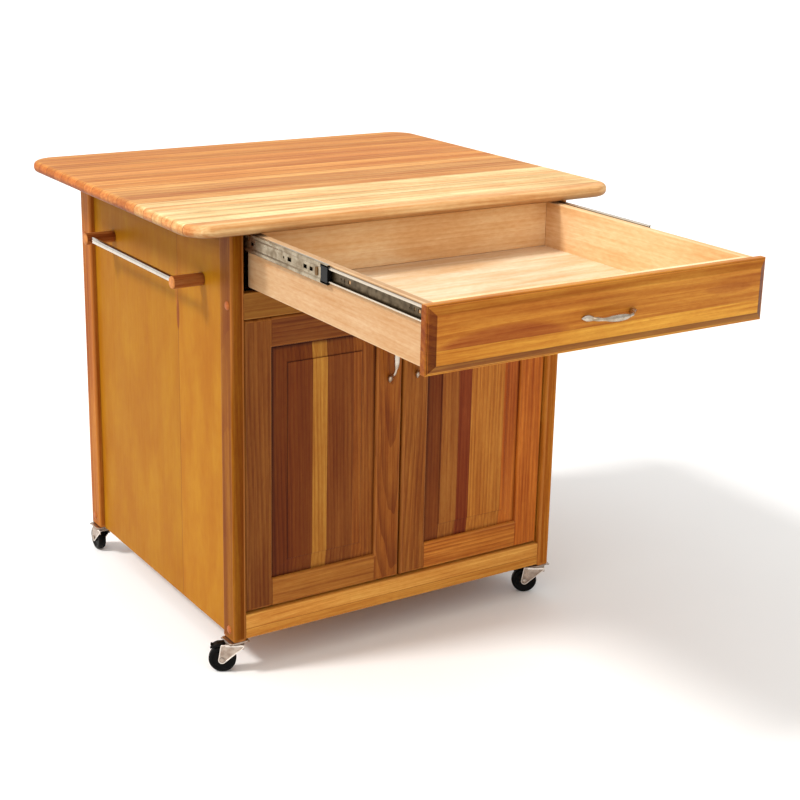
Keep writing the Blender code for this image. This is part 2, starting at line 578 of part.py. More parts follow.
# name, x and y of the swivel axis, and the way its wheel trails
caster_places = (
    ("front_left", CASTER_INSET_X, CASTER_INSET_Y, math.radians(150)),
    ("front_right", CABINET_WIDTH - CASTER_INSET_X, CASTER_INSET_Y, math.radians(150)),
    ("rear_left", CASTER_INSET_X, CABINET_DEPTH - CASTER_INSET_Y, math.radians(88)),
    ("rear_right", CABINET_WIDTH - CASTER_INSET_X, CABINET_DEPTH - CASTER_INSET_Y, math.radians(60)),
)
for place, x, y, heading in caster_places:
    swivel = (x, y, FORK_TOP)
    axle = turned([(CASTER_TRAIL, 0, WHEEL_RADIUS)], x, y, heading)[0]
    add_object(f"caster_plate_{place}", plate_shape(x, y), zinc, (x, y, CASTER_HEIGHT))
    fork = add_object(f"caster_fork_{place}", slab(fork_outline, FORK_OUTER, x, y, heading), zinc, swivel)
    boolean(fork, cutter("hollow", slab(fork_hollow, FORK_INNER, x, y, heading), swivel), "DIFFERENCE")
    bore = [turned([(CASTER_TRAIL + u, w, WHEEL_RADIUS + z) for u, z in
                    arc((0, 0), AXLE_RADIUS + AXLE_CLEARANCE, 0, 345, 23)], x, y, heading) for w in (-0.03, 0.03)]
    boolean(fork, cutter("bore", loft(bore), swivel), "DIFFERENCE")
    wheel = []
    for along, radius in wheel_profile:
        ring = [(CASTER_TRAIL + u, along, WHEEL_RADIUS + z) for u, z in arc((0, 0), radius, 0, 345, 23)]
        wheel.append(turned(ring, x, y, heading))
    add_object(f"caster_wheel_{place}", loft(wheel), tyre, axle)
    lever_pivot = turned([(brake_pivot[0], 0, brake_pivot[1])], x, y, heading)[0]
    lever = slab(brake_outline, FORK_INNER - BRAKE_GAP, x, y, heading)
    add_object(f"brake_lever_{place}", lever, brake_black, lever_pivot)

print("origin shift", [round(v, 5) for v in TO_ORIGIN], "nodes", len(bpy.data.objects))
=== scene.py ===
import json
import math

import bmesh
import bpy
import numpy as np
from mathutils import Matrix, Vector


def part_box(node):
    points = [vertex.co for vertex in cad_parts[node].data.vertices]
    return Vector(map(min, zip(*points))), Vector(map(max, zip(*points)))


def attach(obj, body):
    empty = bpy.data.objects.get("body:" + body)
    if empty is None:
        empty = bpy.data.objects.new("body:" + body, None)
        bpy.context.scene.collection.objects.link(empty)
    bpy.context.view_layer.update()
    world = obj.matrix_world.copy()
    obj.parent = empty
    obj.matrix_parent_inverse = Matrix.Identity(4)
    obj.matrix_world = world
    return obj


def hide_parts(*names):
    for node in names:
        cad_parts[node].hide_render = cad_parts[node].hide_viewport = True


# Rolling kitchen island: a butcher-block top on a birch case, one deep drawer, two raised-panel doors,
# four casters.
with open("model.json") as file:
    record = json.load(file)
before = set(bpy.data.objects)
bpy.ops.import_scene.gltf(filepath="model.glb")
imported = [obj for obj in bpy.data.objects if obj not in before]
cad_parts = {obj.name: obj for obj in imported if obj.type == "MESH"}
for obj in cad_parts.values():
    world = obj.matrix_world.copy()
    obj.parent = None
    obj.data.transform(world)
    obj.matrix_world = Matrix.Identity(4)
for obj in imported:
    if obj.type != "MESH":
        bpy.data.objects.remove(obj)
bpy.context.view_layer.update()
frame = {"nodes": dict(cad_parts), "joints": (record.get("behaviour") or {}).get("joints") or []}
nodes = frame["nodes"]
joints = {joint["name"]: joint for joint in frame["joints"]}
hands = (("left", 1), ("right", -1))  # the sign points from that side to the middle of the cart
print("frame loaded:", len(nodes), "solids")


def linear(hexColour):
    # sRGB hex to linear light
    channels = np.array([int(hexColour[i:i + 2], 16) / 255 for i in (1, 3, 5)])
    light = np.where(channels <= 0.04045, channels / 12.92, ((channels + 0.055) / 1.055) ** 2.4)
    return (*light.tolist(), 1.0)


def corners(node):
    low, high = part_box(node)
    return np.array(low), np.array(high)


def addNode(tree, kind, inputs=None, **settings):
    # one shader node: settings are its own options, inputs are values or the sockets that feed it
    node = tree.nodes.new(kind)
    for key, value in settings.items():
        setattr(node, key, value)
    for key, value in (inputs or {}).items():
        if isinstance(value, bpy.types.NodeSocket):
            tree.links.new(value, node.inputs[key])
        else:
            node.inputs[key].default_value = value
    return node


def skin(loops, wear=None, caps=True):
    # surface through a stack of closed loops: point (i, j) joins (i + 1, j) and (i, j + 1); the two end
    # loops are filled
    rows, columns = loops.shape[:2]
    i, j = np.meshgrid(np.arange(rows - 1), np.arange(columns), indexing="ij")
    k = (j + 1) % columns
    quads = np.stack([i * columns + j, i * columns + k, (i + 1) * columns + k, (i + 1) * columns + j], -1)
    faces = quads.reshape(-1, 4).tolist()
    if caps:
        faces += [np.arange(columns)[::-1].tolist(), ((rows - 1) * columns + np.arange(columns)).tolist()]
    marks = np.zeros(rows * columns) if wear is None else np.asarray(wear, float).reshape(-1)
    return loops.reshape(-1, 3), faces, marks


def gathered(*shells):
    # several closed shells as one set of points and faces
    points, faces, wear, start = [], [], [], 0
    for shell in shells:
        points.append(shell[0])
        faces += [[start + k for k in face] for face in shell[1]]
        wear.append(shell[2])
        start += len(shell[0])
    return np.concatenate(points), faces, np.concatenate(wear)


def makePiece(name, shell, body, finish, standsFor=(), sharp=38):
    # puts points and faces into a mesh, turns its faces outward, and hangs it on its body
    points, faces, wear = shell
    mesh = bpy.data.meshes.new(name)
    mesh.from_pydata(points.tolist(), [], faces)
    marks = mesh.attributes.new("edgeWearAndPaintedLight", "FLOAT", "POINT")
    marks.data.foreach_set("value", wear.astype(np.float32))
    work = bmesh.new()
    work.from_mesh(mesh)
    bmesh.ops.recalc_face_normals(work, faces=work.faces)
    work.to_mesh(mesh)
    work.free()
    mesh.shade_smooth()
    mesh.set_sharp_from_angle(angle=math.radians(sharp))
    mesh.materials.append(finish)
    piece = bpy.data.objects.new(name, mesh)
    bpy.context.scene.collection.objects.link(piece)
    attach(piece, body)
    if standsFor:
        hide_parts(*standsFor)
    return piece


def dressNode(node, finish):
    # a solid whose shape is already right keeps it and gets its finish
    mesh = nodes[node].data
    mesh.materials.clear()
    mesh.materials.append(finish)


def roundedStack(low, high, corner, insets, levels, axis, steps=5, rest=0.0012):
    # rounded rectangle at each level: sign * (half - corner) + (corner - inset) * (cos t, sin t),
    # with a point 'rest' along each flat
    low, high, insets, levels = (np.asarray(v, float) for v in (low, high, insets, levels))
    t = np.radians(np.linspace(0, 90, steps + 1))
    t = np.concatenate([[t[0]], t, [t[-1]]])
    slip = np.zeros(steps + 3)
    slip[0], slip[-1] = -rest, rest
    turn = np.concatenate([t + quarter * math.pi / 2 for quarter in range(4)])
    slip = np.tile(slip, 4)
    sign = np.repeat(np.array([(1, 1), (-1, 1), (-1, -1), (1, -1)], float), steps + 3, axis=0)
    away = np.stack([np.cos(turn), np.sin(turn)], -1)
    along = np.stack([-np.sin(turn), np.cos(turn)], -1)
    radius = np.maximum(corner - insets, 0.00015)[:, None, None]
    centre = (high - low) / 2 - np.maximum(corner, insets + 0.00015)[:, None, None]
    flat = (low + high) / 2 + sign * centre + radius * away + slip[None, :, None] * along
    loops = np.empty(flat.shape[:2] + (3,))
    loops[..., [k for k in range(3) if k != axis]] = flat
    loops[..., axis] = levels[:, None]
    return loops, (slip == 0).astype(float)


def softBoard(low, high, axis, edge=0.002, end=0.0012, steps=4):
    # rounded rectangle carried along one axis; at each end it draws in by end * (1 - sin t)
    # while it moves on by end * (1 - cos t)
    t = np.radians(np.linspace(0, 90, steps + 1))
    inset = np.concatenate([[2 * end], end * (1 - np.sin(t)), [0]])
    step = np.concatenate([[0], end * (1 - np.cos(t)), [2 * end]])
    levels = np.concatenate([low[axis] + step, high[axis] - step[::-1]])
    flat = [k for k in range(3) if k != axis]
    loops, columns = roundedStack(
        low[flat], high[flat], edge, np.concatenate([inset, inset[::-1]]), levels, axis, steps
    )
    rows = np.concatenate([[0], np.ones(steps + 1), [0]])
    wear = np.maximum(np.concatenate([rows, rows[::-1]])[:, None], columns[None, :])
    return skin(loops, wear)


def turned(profile, centre, axis, steps=40):
    # profile of (along, radius) spun round an axis: centre + along * axis + radius * (cos t, sin t)
    profile, axis = np.asarray(profile, float), np.asarray(axis, float)
    side = np.cross(axis, (0, 0, 1) if abs(axis[2]) < 0.9 else (1, 0, 0))
    side /= np.linalg.norm(side)
    other = np.cross(axis, side)
    t = np.linspace(0, 2 * math.pi, steps, endpoint=False)
    ring = np.cos(t)[:, None] * side + np.sin(t)[:, None] * other
    loops = np.asarray(centre) + profile[:, 0, None, None] * axis + profile[:, 1, None, None] * ring[None]
    return skin(loops)


def dome(radius, rise, steps=6):
    # profile of a low button head: radius * cos t, rise * sin t
    t = np.radians(np.linspace(0, 84, steps))
    return np.stack([rise * np.sin(t), radius * np.cos(t)], -1)


def hullOutline(centres, radii, inset=0.0, steps=72):
    # belt round a set of circles: for each direction n, the circle that reaches furthest
    # gives centre + (radius - inset) * n
    centres, radii = np.asarray(centres, float), np.asarray(radii, float)
    t = np.linspace(0, 2 * math.pi, steps, endpoint=False)
    n = np.stack([np.cos(t), np.sin(t)], -1)
    pick = np.argmax(n @ centres.T + radii, axis=1)
    return centres[pick] + (radii[pick] - inset)[:, None] * n


def pressedStrip(line, stations, thickness, place, gone=None, wearAndPaintedLight=None):
    # sheet metal: a bent line (a, b) carried along its stations with half the thickness to each side;
    # cells marked gone are punched out
    line, stations = np.asarray(line, float), np.asarray(stations, float)
    slope = np.gradient(line, axis=0)
    normal = np.stack([slope[:, 1], -slope[:, 0]], -1) / np.linalg.norm(slope, axis=1, keepdims=True)
    rows, columns = len(line), len(stations)
    layers = []
    for side in (-1, 1):
        bent = line + side * thickness / 2 * normal
        grid = np.concatenate(
            [np.repeat(bent[:, None], columns, 1), np.repeat(stations[None, :, None], rows, 0)], -1
        )
        layers.append(place(grid.reshape(-1, 3)))
    solid = np.ones((rows - 1, columns - 1), bool)
    if gone is not None:
        solid &= ~gone
    index = np.arange(rows * columns).reshape(rows, columns)
    quads = np.stack([index[:-1, :-1], index[1:, :-1], index[1:, 1:], index[:-1, 1:]], -1)[solid]
    faces = quads.tolist() + (quads[:, ::-1] + rows * columns).tolist()
    framed = np.pad(solid, 1)
    across = framed[1:, 1:-1] != framed[:-1, 1:-1]  # walls that run along the stations
    beside = framed[1:-1, 1:] != framed[1:-1, :-1]
    for wall, first, second in ((across, index[:, :-1], index[:, 1:]), (beside, index[:-1, :], index[1:, :])):
        a, b = first[wall], second[wall]
        faces += np.stack([a, b, b + rows * columns, a + rows * columns], -1).tolist()
    points = np.concatenate(layers)
    used = np.unique(np.concatenate([np.ravel(face) for face in faces]))
    renumber = np.zeros(len(points), int)
    renumber[used] = np.arange(len(used))
    wear = np.tile(np.repeat(np.zeros(rows) if wearAndPaintedLight is None else wearAndPaintedLight, columns), 2)
    return points[used], [renumber[face].tolist() for face in faces], wear[used]


def bentLine(points, radius, steps=4):
    # open line with its inner corners rounded: each corner becomes a short quadratic curve
    points = np.asarray(points, float)
    out = [points[:1]]
    t = np.linspace(0, 1, steps + 1)[:, None]
    for before, corner, after in zip(points[:-2], points[1:-1], points[2:]):
        a = corner + (before - corner) / np.linalg.norm(before - corner) * radius
        b = corner + (after - corner) / np.linalg.norm(after - corner) * radius
        out.append((1 - t) ** 2 * a + 2 * t * (1 - t) * corner + t ** 2 * b)
    out.append(points[-1:])
    return np.concatenate(out)


def cleared(name):
    # an empty material with its output, coordinates and surface shader
    material = bpy.data.materials.new(name)
    material.use_nodes = True
    tree = material.node_tree
    tree.nodes.clear()
    shader = addNode(tree, "ShaderNodeBsdfPrincipled")
    addNode(tree, "ShaderNodeOutputMaterial", {"Surface": shader.outputs[0]})
    return material, tree, shader, addNode(tree, "ShaderNodeTexCoord")


def woodFinish(name, look):
    # planed and sealed wood: staves of different tint, long fibre streaks, growth rings that arch where
    # the face is flat-sawn, short dark pores, hairline glue joints, darker end grain, rubbed edges, painted
    # shade
    material, tree, shader, place = cleared(name)
    split = addNode(tree, "ShaderNodeSeparateXYZ", {0: place.outputs["Object"]})
    facing = addNode(tree, "ShaderNodeSeparateXYZ", {0: place.outputs["Normal"]})
    grain, stave = "xyz".index(look["grain"]), "xyz".index(look["staves"])
    along, across, depth = (split.outputs[k] for k in (grain, stave, 3 - grain - stave))
    edges, tints = look["edges"], look["tints"]
    span = edges[-1] - edges[0]
    starts = [(edge - edges[0]) / span for edge in edges[:-1]]
    # one fixed number a stave
    luck = [(0.13 + look.get("seed", 0) * 0.29 + k * 0.6180339) % 1 for k in range(len(tints))]
    acrossBoard = {"Value": across, "From Min": edges[0], "From Max": edges[-1]}
    share = addNode(tree, "ShaderNodeMapRange", acrossBoard)
    beside = addNode(tree, "ShaderNodeMath", {0: share.outputs[0], 1: look.get("joint", 0.0009) / span})
    ramps = []
    for where, shades in ((share, [linear(tint) for tint in tints]), (share, luck), (beside, luck)):
        ramp = addNode(tree, "ShaderNodeValToRGB", {0: where.outputs[0]})
        ramp.color_ramp.interpolation = "CONSTANT"
        ramp.color_ramp.elements.remove(ramp.color_ramp.elements[1])
        for k, (start, shade) in enumerate(zip(starts, shades)):
            mark = ramp.color_ramp.elements[0] if k == 0 else ramp.color_ramp.elements.new(start)
            mark.color = shade if where is share and shades is not luck else (shade, shade, shade, 1)
        ramps.append(ramp)
    tint, lot, nextLot = (ramp.outputs[0] for ramp in ramps)
    lots = addNode(tree, "ShaderNodeMath", {0: lot, 1: nextLot}, operation="SUBTRACT")
    seam = addNode(tree, "ShaderNodeMath", {0: lots.outputs[0], 1: 0.0, 2: 0.002}, operation="COMPARE")
    joint = addNode(tree, "ShaderNodeMath", {0: 1.0, 1: seam.outputs[0]}, operation="SUBTRACT").outputs[0]
    flat = addNode(tree, "ShaderNodeCombineXYZ", {0: along, 1: across, 2: depth})
    moved = addNode(
        tree, "ShaderNodeVectorMath", {0: lot, 1: (5.3, 1.7, 0.9), 2: flat.outputs[0]},
        operation="MULTIPLY_ADD"
    ).outputs[0]
    # how strongly each thing shows: noise size is (along, across) in millimetres
    shows = {}
    for key, (length, width), low, high, detail in (
        ("broad", look.get("broad", (420, 16)), 0.36, 0.66, 3),
        ("streak", look.get("streak", (130, 2.4)), 0.32, 0.70, 6),
        ("pores", look.get("pores", (9, 0.9)), 0.60, 0.78, 3),
        ("cloud", look.get("cloud", (260, 90)), 0.35, 0.68, 2),
        ("fleck", look.get("fleck", (16, 5)), 0.36, 0.66, 3),
    ):
        sized = addNode(
            tree, "ShaderNodeVectorMath", {0: moved, 1: (1000 / length, 1000 / width, 1000 / width)},
            operation="MULTIPLY"
        )
        noise = addNode(tree, "ShaderNodeTexNoise", {
            "Vector": sized.outputs[0], "Scale": 1.0, "Detail": detail, "Roughness": 0.58
        })
        shows[key] = addNode(tree, "ShaderNodeMapRange", {
            0: noise.outputs["Fac"], 1: low, 2: high
        }).outputs[0]
    # growth rings round a pith that lies behind and beside each stave, seen along its length at a slant
    pith = look.get("pith", (0.05, 0.035, 0.045))
    slanted = addNode(
        tree, "ShaderNodeVectorMath", {0: lot, 1: (2.1, 2 * pith[0], pith[1])}, operation="MULTIPLY"
    )
    middle = addNode(tree, "ShaderNodeCombineXYZ", {1: across, 2: depth})
    leaned = addNode(
        tree, "ShaderNodeVectorMath", {0: along, 1: (0.10, 0.012, pith[2]), 2: slanted.outputs[0]},
        operation="MULTIPLY_ADD"
    )
    rounds = addNode(tree, "ShaderNodeVectorMath", {0: middle.outputs[0], 1: leaned.outputs[0]})
    centred = addNode(
        tree, "ShaderNodeVectorMath", {0: rounds.outputs[0], 1: look.get("centre", (0, 0, 0))},
        operation="SUBTRACT"
    )
    waveSpan = 314.16  # at scale 1 a wave repeats every 314 mm; 'ring' is the spacing wanted, in mm
    rings = addNode(
        tree, "ShaderNodeTexWave",
        {
            "Vector": centred.outputs[0], "Scale": waveSpan / look.get("ring", 7.0),
            "Distortion": look.get("waver", 5.0), "Detail": 3.0, "Detail Scale": 0.35,
            "Detail Roughness": 0.55
        },
        wave_type="RINGS", rings_direction="X", wave_profile="SAW"
    )
    shows["rings"] = addNode(
        tree, "ShaderNodeMapRange", {0: rings.outputs["Fac"], 1: 0.25, 2: 0.96},
        interpolation_type="SMOOTHSTEP"
    ).outputs[0]
    fading = addNode(tree, "ShaderNodeMath", {0: shows["cloud"], 1: 0.75, 2: 0.25}, operation="MULTIPLY_ADD")
    shows["rings"] = addNode(
        tree, "ShaderNodeMath", {0: shows["rings"], 1: fading.outputs[0]}, operation="MULTIPLY"
    ).outputs[0]
    colour = tint
    # darker heartwood and painted shadows: each a long soft-edged lens, its size given as half lengths along
    # x, y and z
    for spot in look.get("heartsAndPaintedShadows", ()):
        off = addNode(
            tree, "ShaderNodeVectorMath", {0: place.outputs["Object"], 1: spot["at"]},
            operation="SUBTRACT"
        )
        shrunk = addNode(
            tree, "ShaderNodeVectorMath", {0: off.outputs[0], 1: [1 / s for s in spot["size"]]},
            operation="MULTIPLY"
        )
        reach = addNode(tree, "ShaderNodeVectorMath", {0: shrunk.outputs[0]}, operation="LENGTH")
        ragged = addNode(
            tree, "ShaderNodeMath",
            {0: shows["broad"], 1: spot.get("ragged", 0.25), 2: reach.outputs["Value"]},
            operation="MULTIPLY_ADD"
        )
        inside = addNode(tree, "ShaderNodeMapRange", {
            0: ragged.outputs[0], 1: 1.12, 2: 0.92, 3: 0.0, 4: spot.get("amount", 0.9)
        })
        mask = inside.outputs[0]
        if "cut" in spot:  # the glue joint that cuts the lens off: everything past this height stays clear
            kept = addNode(
                tree, "ShaderNodeMath", {0: split.outputs[2], 1: spot["cut"]},
                operation="GREATER_THAN" if spot["above"] else "LESS_THAN"
            )
            mask = addNode(
                tree, "ShaderNodeMath", {0: mask, 1: kept.outputs[0]}, operation="MULTIPLY"
            ).outputs[0]
        colour = addNode(
            tree, "ShaderNodeMix", {0: mask, 6: colour, 7: linear(spot["tint"])}, data_type="RGBA"
        ).outputs[2]
    for key, tone, amount in (
        ("cloud", look.get("cloudTone", "#E2BF92"), look.get("cloudAmount", 0.5)),
        ("broad", look.get("broadTone", "#D8AE7C"), look.get("broadAmount", 0.5)),
        ("rings", look.get("ringTone", "#D2A06C"), look.get("ringAmount", 0.35)),
        ("fleck", look.get("fleckTone", "#E3BE94"), look.get("fleckAmount", 0.3)),
        ("streak", look.get("streakTone", "#DDB68A"), look.get("streakAmount", 0.6)),
        ("pores", look.get("poreTone", "#A97A50"), look.get("poreAmount", 0.45)),
    ):
        part = addNode(tree, "ShaderNodeMath", {0: shows[key], 1: amount}, operation="MULTIPLY")
        colour = addNode(
            tree, "ShaderNodeMix", {0: part.outputs[0], 6: colour, 7: linear(tone)}, data_type="RGBA",
            blend_type="MULTIPLY"
        ).outputs[2]
    part = addNode(tree, "ShaderNodeMath", {0: joint, 1: look.get("jointAmount", 0.6)}, operation="MULTIPLY")
    colour = addNode(
        tree, "ShaderNodeMix", {0: part.outputs[0], 6: colour, 7: linear("#8A5A36")}, data_type="RGBA",
        blend_type="MULTIPLY"
    ).outputs[2]
    square = addNode(tree, "ShaderNodeMath", {0: facing.outputs[grain]}, operation="ABSOLUTE")
    endOn = addNode(tree, "ShaderNodeMapRange", {
        0: square.outputs[0], 1: look.get("endFrom", 0.45), 2: look.get("endFull", 0.85), 3: 0.0,
        4: look.get("endAmount", 0.8)
    })
    colour = addNode(
        tree, "ShaderNodeMix",
        {0: endOn.outputs[0], 6: colour, 7: linear(look.get("endTone", "#D29A63"))}, data_type="RGBA",
        blend_type="MULTIPLY"
    ).outputs[2]
    # above zero: rubbed paler; below zero: painted shade, darkened as if in shadow
    wearAndPaintedLight = addNode(tree, "ShaderNodeAttribute", attribute_name="edgeWearAndPaintedLight")
    paintedShade = addNode(
        tree, "ShaderNodeMath", {0: wearAndPaintedLight.outputs["Fac"], 1: -1.0}, operation="MULTIPLY", use_clamp=True
    )
    colour = addNode(
        tree, "ShaderNodeMix",
        {0: paintedShade.outputs[0], 6: colour, 7: linear(look.get("poolTone", "#6A4226"))}, data_type="RGBA",
        blend_type="MULTIPLY"
    ).outputs[2]
    worn = addNode(
        tree, "ShaderNodeMath", {0: wearAndPaintedLight.outputs["Fac"], 1: shows["broad"]}, operation="MULTIPLY",
        use_clamp=True
    )
    worn = addNode(
        tree, "ShaderNodeMath", {0: worn.outputs[0], 1: look.get("wear", 0.35)}, operation="MULTIPLY"
    )
    colour = addNode(
        tree, "ShaderNodeMix",
        {0: worn.outputs[0], 6: colour, 7: linear(look.get("wearTone", "#E0A86A"))}, data_type="RGBA"
    ).outputs[2]
    tree.links.new(colour, shader.inputs["Base Color"])
    # pores and joints are duller than the planed face
    gloss = addNode(
        tree, "ShaderNodeMath", {0: shows["streak"], 1: 0.10, 2: look.get("rough", 0.38)},
        operation="MULTIPLY_ADD"
    )
    gloss = addNode(
        tree, "ShaderNodeMath", {0: shows["pores"], 1: 0.12, 2: gloss.outputs[0]},
        operation="MULTIPLY_ADD"
    )
    gloss = addNode(
        tree, "ShaderNodeMath", {0: worn.outputs[0], 1: 0.2, 2: gloss.outputs[0]},
        operation="MULTIPLY_ADD", use_clamp=True
    )
    tree.links.new(gloss.outputs[0], shader.inputs["Roughness"])
    height = addNode(tree, "ShaderNodeMath", {0: shows["streak"], 1: -0.25, 2: 1.0}, operation="MULTIPLY_ADD")
    height = addNode(
        tree, "ShaderNodeMath", {0: shows["pores"], 1: -0.45, 2: height.outputs[0]},
        operation="MULTIPLY_ADD"
    )
    height = addNode(
        tree, "ShaderNodeMath", {0: joint, 1: -0.8, 2: height.outputs[0]}, operation="MULTIPLY_ADD"
    )
    relief = addNode(tree, "ShaderNodeBump", {
        "Strength": look.get("relief", 0.3), "Distance": 0.0004, "Height": height.outputs[0]
    })
    tree.links.new(relief.outputs[0], shader.inputs["Normal"])
    shader.inputs["IOR"].default_value = 1.48
    shader.inputs["Specular IOR Level"].default_value = look.get("sheen", 0.10)
    return material


def metalFinish(name, look):
    # plated metal: fine lines ('lines' gives their size in mm along x, y and z), a cloudy patina,
    # and painted highlights: marked folds, rims and bends get a brighter colour
    material, tree, shader, place = cleared(name)
    sizes = [1000 / size for size in look["lines"]]
    sized = addNode(
        tree, "ShaderNodeVectorMath", {0: place.outputs["Object"], 1: sizes}, operation="MULTIPLY"
    )
    lines = addNode(tree, "ShaderNodeTexNoise", {
        "Vector": sized.outputs[0], "Scale": 1.0, "Detail": 4.0, "Roughness": 0.6
    })
    cloud = addNode(tree, "ShaderNodeTexNoise", {
        "Vector": place.outputs["Object"], "Scale": look.get("cloud", 70.0), "Detail": 4.0
    })
    patch = addNode(tree, "ShaderNodeMapRange", {0: cloud.outputs["Fac"], 1: 0.38, 2: 0.66}).outputs[0]
    line = addNode(tree, "ShaderNodeMapRange", {0: lines.outputs["Fac"], 1: 0.35, 2: 0.68}).outputs[0]
    colour = addNode(
        tree, "ShaderNodeMix", {0: patch, 6: linear(look["tint"]), 7: linear(look["dull"])},
        data_type="RGBA"
    ).outputs[2]
    part = addNode(tree, "ShaderNodeMath", {0: line, 1: look.get("lineAmount", 0.25)}, operation="MULTIPLY")
    colour = addNode(
        tree, "ShaderNodeMix", {0: part.outputs[0], 6: colour, 7: linear("#B4A898")}, data_type="RGBA",
        blend_type="MULTIPLY"
    ).outputs[2]
    wearAndPaintedLight = addNode(tree, "ShaderNodeAttribute", attribute_name="edgeWearAndPaintedLight").outputs["Fac"]
    colour = addNode(
        tree, "ShaderNodeMix", {0: wearAndPaintedLight, 6: colour, 7: linear(look.get("wearAndPaintedLight", look["tint"]))},
        data_type="RGBA"
    ).outputs[2]
    tree.links.new(colour, shader.inputs["Base Color"])
    rough = addNode(
        tree, "ShaderNodeMath", {0: patch, 1: look.get("vary", 0.12), 2: look["rough"]},
        operation="MULTIPLY_ADD"
    )
    rough = addNode(
        tree, "ShaderNodeMath", {0: line, 1: look.get("vary", 0.12) / 2, 2: rough.outputs[0]},
        operation="MULTIPLY_ADD"
    )
    tree.links.new(rough.outputs[0], shader.inputs["Roughness"])
    relief = addNode(tree, "ShaderNodeBump", {
        "Strength": look.get("relief", 0.12), "Distance": 0.0002, "Height": lines.outputs["Fac"]
    })
    tree.links.new(relief.outputs[0], shader.inputs["Normal"])
    shader.inputs["Metallic"].default_value = 1.0
    return material


def plasticFinish(name, look):
    # moulded plastic: a fine grain ('grit' in mm), faint dust, and a sheen that comes and goes
    material, tree, shader, place = cleared(name)
    grit = addNode(tree, "ShaderNodeTexNoise", {
        "Vector": place.outputs["Object"], "Scale": 1000 / look["grit"], "Detail": 3.0
    })
    cloud = addNode(tree, "ShaderNodeTexNoise", {
        "Vector": place.outputs["Object"], "Scale": 55.0, "Detail": 4.0
    })
    dusty = addNode(tree, "ShaderNodeMapRange", {
        0: cloud.outputs["Fac"], 1: 0.45, 2: 0.75, 3: 0.0, 4: look.get("dust", 0.5)
    }).outputs[0]
    colour = addNode(
        tree, "ShaderNodeMix", {0: dusty, 6: linear(look["tint"]), 7: linear(look["dull"])},
        data_type="RGBA"
    ).outputs[2]
    tree.links.new(colour, shader.inputs["Base Color"])
    rough = addNode(
        tree, "ShaderNodeMath", {0: cloud.outputs["Fac"], 1: 0.25, 2: look["rough"] - 0.12},
        operation="MULTIPLY_ADD"
    )
    tree.links.new(rough.outputs[0], shader.inputs["Roughness"])
    relief = addNode(tree, "ShaderNodeBump", {
        "Strength": 0.25, "Distance": 0.0002, "Height": grit.outputs["Fac"]
    })
    tree.links.new(relief.outputs[0], shader.inputs["Normal"])
    shader.inputs["IOR"].default_value = 1.5
    shader.inputs["Specular IOR Level"].default_value = look.get("sheen", 0.2)
    return material


# Butcher block: full-length birch staves glued side by side, planed flat, edges rolled over, rubbed with oil
topLow, topHigh = corners("butcher_block_top")
topLook = {
    "corner": 0.055,
    "edgeRound": 0.0095,
    "flatRing": 0.004,  # a last ring on the flat, so that the shading of the roll stays on the roll
    # from the drawer side to the back
    "tints": [
        "#FADDA6", "#FAF0BB", "#FAE3AB", "#FAF8C5", "#FADDA4", "#FAF0BA", "#E5B670", "#D09D5B", "#DBAC67",
        "#EFC278", "#DFA557", "#EBB465", "#D49A4F", "#E7AE61", "#D99E51", "#E3A858", "#D0974B", "#DEA354",
        "#D69C4F", "#DDA355",
    ],
}
staveEdges = np.linspace(topLow[1], topHigh[1], len(topLook["tints"]) + 1).tolist()
# edge-glued birch, planed and oiled: a soft satin, each strip its own tone, joints as fine dark lines
oiledBirchStaves = woodFinish("oiledBirchStaves", {
    "grain": "x", "staves": "y", "edges": staveEdges, "tints": topLook["tints"],
    "streak": (300, 3.6), "broad": (800, 13), "ring": 7.0, "ringAmount": 0.30, "streakAmount": 0.7,
    "broadAmount": 0.65, "broadTone": "#D29F68",
    "poreAmount": 0.25, "cloudAmount": 0.35, "endTone": "#D89A5C", "endAmount": 0.6, "rough": 0.42,
    # a real glue line is a tenth of this and would not show
    "jointAmount": 0.75, "joint": 0.0015, "wear": 0.15,
})
turn = np.radians(np.linspace(0, 90, 8))
rim = topLook["edgeRound"]
drawIn, climb = rim * (1 - np.sin(turn)), rim * (1 - np.cos(turn))
flatEnd = [rim + topLook["flatRing"]]
ringInset = np.concatenate([flatEnd, drawIn, drawIn[::-1], flatEnd])
ringLevel = np.concatenate([topLow[2:], topLow[2] + climb, topHigh[2] - climb[::-1], topHigh[2:]])
topLoops, _ = roundedStack(
    topLow[:2], topHigh[:2], topLook["corner"], ringInset, ringLevel, 2, steps=14, rest=0.02
)
# painted shade under the roll: its lower half darkened as if in shadow; its upper half marked as rubbed, a
# little paler
rollShadeAndWear = np.concatenate(
    [[-0.9], np.linspace(-0.9, -0.25, len(turn)), np.linspace(0.3, 1.0, len(turn)), [0]]
)
rollShadeAndWearMarks = np.repeat(rollShadeAndWear[:, None], topLoops.shape[1], 1)
makePiece(
    "butcherBlockTop", skin(topLoops, rollShadeAndWearMarks), "cabinet", oiledBirchStaves,
    ["butcher_block_top"]
)
print("top made")

